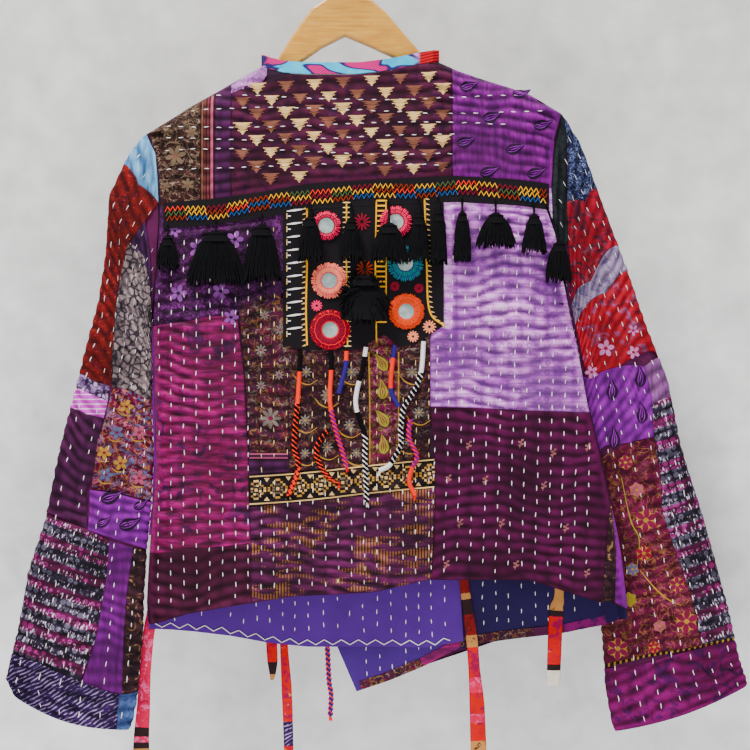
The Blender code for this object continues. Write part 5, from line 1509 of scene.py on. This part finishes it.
liningRows = {
    "left": (-194, -181, -166, -152, -136, -121, -108, -94, -81, -67, -54, -40, -24, -9, 4, 18, 33, 47, 63, 77, 90,
        104),
    "right": (21, 35, 48, 62, 76, 89, 131, 145, 159, 172, 186, 200, 214, 228, 242, 255, 269),
}
for side, hem in (("left", leftHem), ("right", rightHem)):
    gather, inner, lines = Gather(), liningY(side), []
    for x in liningRows[side]:
        lines += column(x, float(lineAt(x, backHem)) + 12, float(lineAt(x, hem)) + 8, 0.02)
    dashes(gather, flat(inner), lines, thread["white"])
    if side == "left":
        spots = np.arange(hem[0][0] + 4, hem[-1][0] - 3, 9.0)
        zigzag = [(x, lineAt(x, hem) + (2.4 if k % 2 else 7.6)) for k, x in enumerate(spots)]
        line = np.concatenate([np.linspace(a, b, 5)[:-1] for a, b in zip(zigzag, zigzag[1:])])
        line = np.stack([line[:, 0], inner(line[:, 0], line[:, 1]) - 0.75, line[:, 1]], axis=1)
        gather.add(*tube(line, 0.6, 5), thread["white"])
        leftLiningPiece = gather.piece("front_left_lining_stitch", "rosette_thread")
    else:
        rightLiningPiece = gather.piece("front_right_lining_stitch", "rosette_thread")
        band = Ink(inner)
        line = [(x, lineAt(x, hem) + 5) for x in (16, 47, 81, 121, 162, 200, 232, 270, 288)]
        for start, end, cloth in ((0, 3, "vine"), (2, 4, "magenta"), (3, 6, "centre"), (5, 7, "plum"),
            (6, 8, "magentaCuff"), (7, 9, "magentaCuff")):
            band.stroke(line[start:end], 4.6, fabrics[cloth], 0.9)
        bandPiece = band.gather.piece("front_right_hem_band", "front_cloth")
outerStitches = {}
for side, hem, low, high in (("left", leftHem, -192, 112), ("right", rightHem, 70, 280)):
    gather, skin = Gather(), frontSkin(side)
    lines = []
    for x in np.arange(low, high, stitchLooks["pitch"]):
        lines += column(float(x), -210.0, float(lineAt(x, hem)) + 8)
    lines = [one for one in lines if withinBody(one[0], 8, 8)]
    dashes(gather, over(skin), lines, thread["white"])
    outerStitches[side] = gather.piece(f"front_{side}_running_stitch", "rosette_thread")
sheetOf(backPiece, (0.502, 0.586), 0.235, ["hanger_bar"], [backStitchPiece, backInk])
sheetOf(leftSleevePiece, (0.39, 0.612), 0.119, ["back", "front_left"], [leftStitchPiece, leftInk])
sheetOf(rightSleevePiece, (0.41, 0.622), 0.13, ["back", "front_right"], [rightStitchPiece, rightInk])
sheetOf(frontPieces["left"], (0.333, 0.611), 0.178, ["hanger_bar"], [leftLiningPiece, outerStitches["left"]])
sheetOf(frontPieces["right"], (0.304, 0.663), 0.156, ["hanger_bar"],
    [rightLiningPiece, outerStitches["right"], bandPiece])
print("linings stitched")

# Trim band and mirror-work patch

trimLooks = {
    "rows": (
        (5.4, ("orange", "yellow", "darkRed", "yellow", "redBrown", "yellow", "green")),
        (0.6, ("redBrown", "yellow", "darkRed", "green", "yellow", "redBrown", "orange", "blue")),
        (-4.4, ("yellow", "blue", "redBrown", "blue", "darkRed", "yellow", "redBrown", "blue")),
    ),
    "period": 5.4,
    "swing": 2.5,
    "down": 13.5,
}
trimThread = Gather()
for row, (off, tones) in enumerate(trimLooks["rows"]):
    spots = np.arange(-187 + row, 211, trimLooks["period"] / 2)
    swing = trimLooks["swing"]
    corners = np.array([
        (x, lineAt(x, trimTop) - trimLooks["down"] + off + swing * (1 if k % 2 else -1) + 1.4 * math.sin(x / 17))
        for k, x in enumerate(spots)
    ])
    for k in range(0, len(corners) - 1, 4):
        part = corners[k : k + 5]
        line = np.concatenate([*[np.linspace(a, b, 4)[:-1] for a, b in zip(part, part[1:])], part[-1:]])
        points = np.stack([line[:, 0], trimY(line[:, 0], line[:, 1]) - 0.75 - 0.3 * (row % 2), line[:, 1]], axis=1)
        trimThread.add(*tube(points, 0.46, 5), thread[tones[(k // 8 + 3 * row) % len(tones)]])
trimThread.piece("trim_zigzag", "trim_cloth")

onPanel = Ink(trimY)
for z in np.arange(-296, -430, -13.6):
    if z > lineAt(-52, mirrorBottom) + 4:
        onPanel.stroke([(-60, z - 1), (-52, z), (-44, z + 1)], [0.4, 1.1, 0.5], ink["white"], 0.6)
        onPanel.stroke([(-60, z - 6), (-56, z - 6)], 0.6, ink["white"], 0.6)
        onPanel.stroke([(-60, z - 3), (-60, z - 9)], 0.5, ink["cream"], 0.6)
panelThread = onPanel.gather


def yarn(line, tone, radius=1.0, lift=0.9):
    line = through(line, 3)
    points = np.stack([line[:, 0], trimY(line[:, 0], line[:, 1]) - lift, line[:, 1]], axis=1)
    panelThread.add(*tube(points, radius, 6), thread[tone])


edges = (((-39, -294), (-39, -346), (-40, -399), (-39, -436)), ((83, -284), (85, -349), (88, -400), (103, -416)))
ladders = (((2, -288), (2, -357), (3, -437)), ((33, -286), (32, -357), (33, -433)),
    ((43, -286), (43, -357), (43, -388)))
for line, tick in ((edges[0], -1), (edges[1], 1)):
    yarn(line, "yellow")
    for x, z in through(line, 5.4):
        onPanel.stroke([(x + 1.4 * tick, z), (x + 5 * tick, z - 1)], [0.9, 0.6, 0.2], ink["cream"], 0.7)
for line in ladders:
    yarn(line, "yellow", 0.8)
for x, z in through(ladders[0], 5.2):
    onPanel.stroke([(x - 4, z), (x + 4, z)], [0.3, 0.9, 0.3], thread["cream"], 0.7)
for x, z in through(ladders[1], 5.2):
    if z > lineAt(380, mirrorBottom):
        onPanel.stroke([(x, z), (x + 11, z)], [0.7, 0.9, 0.7], thread["yellow"], 0.7)
stars = (((-29, -395), 6, "pinkRed"), ((18, -308), 9, "darkRed"), ((21, -357), 9, "redBrown"),
            ((52, -375), 5, "darkRed"), ((77, -377), 5, "darkRed"), ((88, -417), 7, "salmon"),
    ((71, -427), 6, "salmon"), ((18, -401), 7, "darkRed"))
for (x, z), size, tone in stars:
    for k in range(12):
        t = math.pi * k / 6
        onPanel.stroke([(x + 0.2 * size * math.cos(t), z + 0.2 * size * math.sin(t)),
                (x + size * math.cos(t), z + size * math.sin(t))], [0.3, 1.0, 0.6], thread[tone], 0.9)
panelThread.piece("mirror_panel_thread", "mirror_patch_cloth")
print("trim and patch ready")

rosetteLooks = {"panel": 2.7, "stitches": 2.9, "thread": 0.82}
rosettes = (
    (-19, -312, 14.5, "pinkRed", "darkRed"), (-16, -369, 18, "salmon", "pinkRed"),
    (-15, -420, 20.5, "darkRed", "red"),
    (53, -308, 16, "pinkRed", "darkRed"), (63, -351, 18, "teal", "navy"), (64, -401, 18, "rust", "orange"),
)
for n, (x, z, radius, tone, second) in enumerate(rosettes, 1):
    gather = Gather()
    near = [float(backY(x + a, z + b)) for a in (-radius, 0, radius) for b in (-radius, 0, radius)]
    floor = min(near) - rosetteLooks["panel"]
    turns = np.linspace(0, 2 * math.pi, 41)[:-1]
    profile = np.array(((8.5, 0.9), (10, 1.9), ((radius + 8.6) / 2, 2.3), (radius - 1.5, 1.6), (radius, 0.2)))
    rings = [
        np.stack([x + r * np.cos(turns), np.full(40, floor - h), z + r * np.sin(turns)], axis=1) for r, h in profile
    ]
    gather.add(np.concatenate(rings), gridFaces(5, 40, True), thread[second])
    count = round(radius * rosetteLooks["stitches"])
    for k in range(count):
        t = 2 * math.pi * (k + chance.uniform(-0.2, 0.2)) / count
        reach = radius * (1.03 if k % 4 else 0.92)
        stitch = np.array([(8.7, 1.4), (10.5, 2.6), ((radius + 8.6) / 2, 3.0), (radius - 2, 2.2), (reach, 0.5)])
        points = np.stack([x + stitch[:, 0] * math.cos(t), floor - stitch[:, 1], z + stitch[:, 0] * math.sin(t)],
            axis=1)
        gather.add(*tube(points, rosetteLooks["thread"], 5), thread[tone])
    for r, h, thick in ((9.0, 2.0, 0.75), (radius * 0.78, 3.2, 0.6)):
        loop = np.linspace(0, 2 * math.pi, 49)
        reach = r + 0.4 * np.sin(14 * loop)
        points = np.stack([x + reach * np.cos(loop), np.full(49, floor - h), z + reach * np.sin(loop)], axis=1)
        gather.add(*tube(points, thick, 5), thread[second])
    gather.piece(f"rosette_{n}_thread", "rosette_thread", [f"rosette_{n}"])
print("rosettes ready")

# Tassels

tassels = (
    (-194, -173, -322, -356), (-161, -105, -318, -373), (-104, -67, -312, -369), (-47, -24, -303, -349),
    (-4, 17, -306, -349),
    (-8, 50, -364, -420), (26, 66, -310, -351), (66, 88, -301, -349), (89, 106, -297, -352), (114, 130, -297, -349),
    (138, 175, -299, -335), (185, 208, -300, -341), (210, 235, -328, -370),
)


tasselLooks = {"strands": 60, "moreIfWide": 2.2, "pompomStrands": 190, "flare": 1.13, "deep": 8.0, "stem": 1.2}


def makeTassel(number, left, right, top, bottom):
    gather, rng, black = Gather(), np.random.default_rng(number), thread["black"]
    x, wide = (left + right) / 2, (right - left) / 2
    deep = min(tasselLooks["deep"], 0.6 * wide)
    pompom = number == 6
    behind = 6.8 if 4 <= number <= 9 else 1.6
    y = min(float(backY(x, top)), float(backY(x, bottom))) - behind - deep
    edge = min(max(x, -186), 210)
    stemTop = top + 14 if pompom else float(lineAt(edge, trimTop)) - 24
    stemY = float(backY(edge, stemTop)) - 4.1
    stem = [(edge, stemY, stemTop), ((edge + x) / 2, (stemY + y) / 2, (stemTop + top) / 2), (x, y, top)]
    gather.add(*tube(stem, tasselLooks["stem"]), black)
    head = 0.42 * wide + 1.8
    squash = min(1.0, deep / head)
    body = [(0.0, 0.3), (-2, 0.62), (-5, 0.86), (-8, 1.0), (-11, 1.1)]
    radii = np.array([head * r for _, r in body])
    gather.add(*tube([(x, y, top + dz) for dz, _ in body], radii, 12, squash), black)
    for dz in (-3.2, -4.4):
        loop = np.linspace(0, 2 * math.pi, 17)
        across, back = 0.8 * head * np.cos(loop), 0.8 * head * squash * np.sin(loop)
        wrap = np.stack([x + across, y + back, np.full(17, top + dz)], axis=1)
        gather.add(*tube(wrap, 0.65, 4), black)
    low = bottom + (6 if not pompom else 10)
    fill = [(top - 9, 0.7 * head), (top - 14, 0.68 * wide), ((top + low) / 2 - 2, 0.84 * wide), (low, 0.86 * wide)]
    gather.add(*tube([(x, y, z) for z, _ in fill], np.array([r for _, r in fill]), 10, min(1, deep / wide)), black)
    flare = 1.0 if number in (7, 8, 9) else tasselLooks["flare"]
    count = int(tasselLooks["strands"] + wide * tasselLooks["moreIfWide"])
    if pompom:
        count = tasselLooks["pompomStrands"]
    for k in range(count):
        t, reach = 2 * math.pi * k * 0.618, math.sqrt((k + 0.5) / count) * 0.25 + 0.75
        if pompom:
            t = rng.uniform(0.12, 1.0) * 2 * math.pi
            reach = rng.uniform(0.75, 1.0)
            high = (top + bottom) / 2 + 3 + (top - bottom) / 2 * math.sin(t) * reach
            end = np.array((x + wide * math.cos(t) * reach, y + deep * rng.uniform(-1, 0.8), high))
            start = np.array((x, y, top - 16))
        else:
            across, back = flare * wide * math.cos(t) * reach, deep * math.sin(t) * reach
            end = np.array((x + across, y + back, bottom + rng.uniform(-2, 6)))
            start = np.array((x + 0.7 * head * math.cos(t), y + 0.7 * head * squash * math.sin(t), top - 5))
        s = np.linspace(0, 1, 6)
        bend = np.stack([s**0.62, s**0.5, s], axis=1)
        points = start + (end - start) * bend
        points[1:, :2] += rng.normal(0, 0.4 if not pompom else 1.3, (5, 2))
        points[1:-1, 2] += rng.normal(0, 0.1 if not pompom else 1.6, 4)
        gather.add(*tube(points, np.array([0.9, 0.95, 0.9, 0.85, 0.8, 0.5]), 4), black)
    return gather.piece(f"tassel_{number:02d}_yarn", "tassel_yarn", [f"tassel_{number:02d}"])


for number, row in enumerate(tassels, 1):
    makeTassel(number, *row)
print("tassels ready")

# Braided cords: wrapped stretches and braided ones, from the top end down

braidLooks = {"radius": 2.6, "pitch": 10.5, "core": 2.2, "strand": 0.8, "looseEnds": 7}
braids = (
    ("braid_1", ((-46, -442), (-47, -466), (-49, -498), (-51, -520), (-52, -543), (-48, -563), (-58, -592)),
     ((0.0, "black", None), (0.14, "orange", None), (0.36, "orange", "black"), (0.8, "black", "orange"))),
    ("braid_2", ((-14, -442), (-14, -461), (-15, -497), (-8, -528), (-2, -547), (2, -563)),
     ((0.0, "black", None), (0.16, "orange", None), (0.5, "red", "purple"))),
    ("braid_3", ((2, -442), (1, -458), (-3, -474), (-6, -486)), ((0.0, "orange", None), (0.22, "navy", None))),
    ("braid_4", ((22, -438), (19, -460), (13, -482), (12, -501), (21, -530), (21, -551), (22, -573), (23, -599)),
     ((0.0, "white", None), (0.06, "black", None), (0.22, "white", None), (0.42, "black", None),
            (0.57, "white", "black"))),
    ("braid_5", ((52, -436), (48, -470), (49, -486), (56, -500)),
        ((0.0, "navy", None), (0.2, "orange", None), (0.68, "navy", None))),
    ("braid_6", ((82, -432), (79, -466), (70, -487), (61, -502), (58, -524), (58, -540), (47, -560), (36, -566)),
     ((0.0, "white", None), (0.22, "white", "black"), (0.9, "white", None))),
    ("braid_7", ((68, -513), (67, -532), (75, -551), (70, -564), (67, -578), (73, -592)),
     ((0.0, "red", "purple"), (0.62, "orange", None))),
    ("braid_8", ((-17, -524), (-28, -539), (-28, -554), (-18, -572), (-6, -580)), ((0.0, "orange", "black"),)),
    ("braid_front", ((-20, -742), (-19, -756), (-18, -775), (-17, -793), (-15, -806), (-16, -828)),
     ((0.0, "orange", None), (0.06, "orange", "navy"), (0.85, "orange", "navy"))),
)


# The cord's route in part.py.
def braidRoute(name, places):
    line = through([(x, 0.0, z) for x, z in places], 1.0)
    if name == "braid_front":
        line[:, 1] = 17.5
    else:
        near = [backY(line[:, 0] + a, line[:, 2] + b) for a in (-4, 0, 4) for b in (-8, 0, 8)]
        line[:, 1] = np.min(near, axis=0) - 0.7 - 0.4 - braidLooks["radius"]
    return line


def makeBraid(name, places, colours):
    gather, line = Gather(), braidRoute(name, places)
    run = np.concatenate([[0], np.cumsum(np.linalg.norm(np.diff(line, axis=0), axis=1))])
    starts = [share * run[-1] for share, _, _ in colours] + [run[-1]]
    for (start, end), (_, first, second) in zip(zip(starts, starts[1:]), colours):
        at = np.linspace(start, end, max(4, round((end - start) / 0.65)))
        middle = np.stack([np.interp(at, run, line[:, k]) for k in range(3)], axis=1)
        wrap = np.where(np.arange(len(at)) % 2, 2.65, 2.35)
        if second is None:
            gather.add(*tube(middle, wrap, 8), thread[first])
            continue
        gather.add(*tube(middle, braidLooks["core"], 8), thread[second])
        for k, (tone, way) in enumerate(((first, 1), (first, 1), (second, -1), (second, -1))):
            phase = way * (at - start) * 2 * math.pi / braidLooks["pitch"] + (k % 2) * math.pi
            radius = 2.3 + 0.2 * np.sin(phase * 2 + k)
            points = middle + np.stack([radius * np.cos(phase), radius * np.sin(phase), 0 * phase], axis=1)
            gather.add(*tube(points[::2], braidLooks["strand"], 5), thread[tone])
    ends = []
    if name not in ("braid_3", "braid_5"):
        rng, loose = np.random.default_rng(int(run[-1])), Gather()
        for _ in range(braidLooks["looseEnds"]):
            end = line[-1] + (rng.uniform(-2.5, 2.5), rng.uniform(-1, 1), -rng.uniform(3, 6))
            points = np.linspace(line[-1], end, 4)
            points[1:3] += rng.normal(0, 0.4, (2, 3))
            loose.add(*tube(points, 0.5, 4), thread[colours[-1][1]])
        ends.append(loose.piece(name + "_loose_ends", "braid_yarn"))
    made = gather.piece(name + "_yarn", "braid_yarn", [name])
    path = line[::4].tolist()
    if path[-1] != line[-1].tolist():
        path.append(line[-1].tolist())
    path = [[v * mm for v in place] for place in path]
    length = sum(math.dist(a, b) for a, b in zip(path, path[1:]))
    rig.cord(made, path[0], length, 2 * braidLooks["radius"] * mm, "bare", "limp", "hanging", path, ends)
    return name, round(length, 4)


print("braids", [makeBraid(*one) for one in braids])

# Ties: strips of printed cloth, sewn double

ties = (
    ("tie_left_side", ((-196, -665, 6, 12.1), (-200, -700, 6, 11.4), (-207, -738, 6, 10.2), (-211, -780, 6, 11),
            (-213, -820, 7, 10.5), (-215, -850, 8, 10), (-215, -880, 9, 10)),
     ((0.0, "tiePink"), (0.8, "tieBand"), (0.84, "tiePink"), (0.87, "tieBand"), (0.9, "tieTan"))),
    ("tie_left_outer", ((-78, -700, 6, 18), (-78, -748, 6, 18), (-77, -770, 5.5, 17), (-77, -785, 3, 17),
            (-78, -790, 1.5, 17)),
     ((0.0, "tiePrint"), (0.78, "tieBand"), (0.92, "tieTan"))),
    ("tie_left_edge_outer", ((-65, -700, 4, 17.7), (-65, -750, 4, 17.7), (-62, -800, 5.5, 17), (-60, -860, 5, 17),
            (-61, -885, 5, 17)),
     ((0.0, "tiePrint"), (0.72, "cuffIndigo"), (0.86, "tiePrint"))),
    ("tie_left_edge_inner", ((121, -640, 4, 10), (126, -690, 5, 10), (133, -740, 6, 9.5), (136, -776, 6, 9),
            (139, -815, 8, 9), (141, -875, 8.5, 9)),
     ((0.0, "tieBand"), (0.05, "tiePrint"), (0.12, "tieBand"), (0.17, "rust"), (0.24, "tieTan"), (0.27, "tieBand"),
            (0.33, "rust"), (0.42, "tieTan"), (0.48, "tiePrint"), (0.62, "tiePink"), (0.68, "tiePrint"),
            (0.78, "tiePink"), (0.82, "tiePrint"), (0.9, "tieTan"), (0.96, "tieBand"))),
    ("tie_right_inner", ((226, -640, 5, 13), (226, -700, 5, 13), (223, -715, 7.5, 13), (221, -760, 7.5, 13),
            (220, -795, 7, 13)),
     ((0.0, "tieTan"), (0.48, "tieBand"), (0.53, "tiePrint"), (0.84, "tieBand"), (0.88, "frayed"))),
)


tieLooks = {"sides": 14, "thick": 1.0, "least": 10.0}


def makeTie(name, table, bands):
    gather = Gather()
    line = through([(x, y, z) for x, z, _, y in table], 3.2)
    half = np.interp(-line[:, 2], [-z for _, z, _, _ in table], [w for _, _, w, _ in table])
    share = np.linspace(0, 1, len(line))
    sides = tieLooks["sides"]
    turns = np.arange(sides) * 2 * math.pi / sides
    along = np.gradient(line, axis=0)
    along /= np.linalg.norm(along, axis=1)[:, None]
    side = np.cross(along, (0, 1, 0))
    side /= np.linalg.norm(side, axis=1)[:, None]
    wave = 0.35 * np.sin(share[:, None] * 31 + 3 * np.cos(turns)) + 0.25 * np.sin(share[:, None] * 73 + turns)
    ring = line[:, None] + side[:, None] * (half[:, None] * np.cos(turns))[..., None]
    ring[..., 1] -= tieLooks["thick"] * np.sin(turns) + wave * (0.6 + 0.4 * np.sin(turns))
    ring[..., 1] += 0.7 * np.sin(share * 9)[:, None] * np.cos(turns)
    for k in range(len(line) - 1):
        tone = [cloth for start, cloth in bands if start <= share[k]][-1]
        gather.add(ring[k : k + 2].reshape(-1, 3), gridFaces(2, sides, True), fabrics[tone])
    fan = [(k, (k + 1) % sides, sides) for k in range(sides)]
    for end in (0, -1):
        gather.add([*ring[end].tolist(), line[end]], fan, fabrics[bands[end][1]])
    made = gather.piece(name + "_cloth", "tie_cloth", [name])
    length = float(np.linalg.norm(np.diff(line, axis=0), axis=1).sum())
    wide = max(tieLooks["least"], 2 * float(half.mean()))
    holder = "back" if "side" in name else "front_left" if "left" in name else "front_right"
    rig.sheet(made, flat=(round(wide * mm, 4), round(length * mm, 4)), held="hung", rests_on=[holder])
    return name, round(wide, 1), round(length, 1)


print("ties", [makeTie(*one) for one in ties])


# What is kept of the model gets its own finish


def wood():
    c = Cloth("varnished wood", 0.35)
    grain = c.noise(5, 6, 0.6, c.moved(0.16, 1, 1.8), 0.5)
    colour = c.two(grain, 0.3, 0.75, (200, 156, 98), (172, 122, 70))
    return c.finish(colour, weave=0.03, bump=0.06)


def steel():
    c = Cloth("steel wire", 0.25, 1.0)
    return c.finish(c.two(c.noise(3), 0.3, 0.7, (190, 190, 194), (150, 150, 156)), weave=0.03, bump=0.05)


def mirrorGlass():
    c = Cloth("mirror glass", 0.14, 0.45)
    return c.finish(c.two(c.noise(9, 3), 0.35, 0.65, (214, 224, 220), (160, 180, 174)), weave=0.04, bump=0.08)


# One colour on the side that faces the camera and another on the far one. Right, if given, is painted shade that takes
# over the near side from x 112 to 124 mm on.
def lined(name, near, far, right=None):
    c = Cloth(name)
    if right:
        near = c.two(c.x, 112, 124, near, right)
    facing = c.part(c.make("ShaderNodeNewGeometry", {}, {}, 1), 1)
    return c.finish(c.two(facing, -0.1, 0.1, near, far))


kept = {
    "back": lined("back's lining", (34, 14, 30), (84, 46, 136)),
    "front_left": lined("left front's lining", (76, 40, 118), (46, 18, 40)),
    # The right front's lining turns dark navy past x 112 to 124 mm: painted shade.
    "front_right": lined("right front's lining", (66, 38, 108), (46, 18, 40), (34, 24, 62)),
    "sleeve_left": fabrics["plum"], "sleeve_right": fabrics["plum"],
    "neck_binding": fabrics["turquoise"], "trim_band": fabrics["black"], "mirror_panel": fabrics["black"],
    "hanger_bar": wood(), "hanger_hook": steel(),
}
glass = mirrorGlass()
kept.update({f"mirror_{n}": glass for n in range(1, 7)})
for name, finish in kept.items():
    nodes[name].data.materials.clear()
    nodes[name].data.materials.append(finish)


# Violet cloth shows in the gap between the left sleeve and the body.
def sideStrip():
    gather = Gather()
    sleevePoints = np.array([vertex.co for vertex in leftSleevePiece.data.vertices]) / mm
    rows = []
    for z in np.arange(-330, -640, -5.0):
        level = sleevePoints[np.abs(sleevePoints[:, 2] - z) < 4]
        inner = level[level[:, 0].argmax()]
        edge = float(edgeX("left", z))
        if 0.2 < edge - inner[0] < 14:
            y = float(backY(edge, z))
            middle = (0.5 * (inner[0] + edge), 0.5 * (inner[1] + y) + 0.8, z)
            rows.append([(inner[0] - 0.2, inner[1] + 0.4, z), middle, (edge + 0.2, y + 0.4, z)])
    print("side strip rows", len(rows), rows[0][1][2], rows[-1][1][2])
    gather.add(np.array(rows).reshape(-1, 3), gridFaces(len(rows), 3), fabrics["violetStrip"])
    return gather.piece("left_side_strip", "sleeve_cloth")


def backdrop():
    values = {"place": 190.0, "wide": 2600, "folds": 7.0}
    u, w = np.meshgrid(np.linspace(-1, 1, 90), np.linspace(-1, 1, 60), indexing="ij")
    x, z = 30 + u * values["wide"], -470 + w * values["wide"]
    wave = np.sin(x / 90 + 0.6 * np.sin(z / 300)) + 0.6 * np.sin(x / 41 + z / 500)
    y = values["place"] + values["folds"] * wave
    points = np.stack([x, y, z], axis=-1)
    c = Cloth("pale cloth", 0.95)
    low = c.z * -0.001 + c.noise(260, 2) * 0.3
    finish = c.finish(c.two(low, 0.15, 0.95, (204, 204, 200), (254, 254, 253)), weave=0.03)
    # Its faces turn away from the camera. Seen from the other side it is clear, and the fronts can be looked at.
    behind = c.make("ShaderNodeNewGeometry", {}, {}, 6)
    clear = c.make("ShaderNodeBsdfTransparent", {}, {})
    both = c.make("ShaderNodeMixShader", {}, {0: behind, 1: clear, 2: Wire(c.tree, c.shader.outputs[0])})
    c.tree.links.new(both.socket, c.tree.nodes["Material Output"].inputs["Surface"])
    made = meshObject("backdrop", points.reshape(-1, 3), gridFaces(90, 60), [finish])
    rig.stage(made)


sideStrip()
makeCamera()
makeLights()
backdrop()
endBounds = [[float(v) for v in corner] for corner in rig.bounds()]
with open("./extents.json", "w") as out:
    json.dump({"start": startBounds, "end": endBounds}, out)
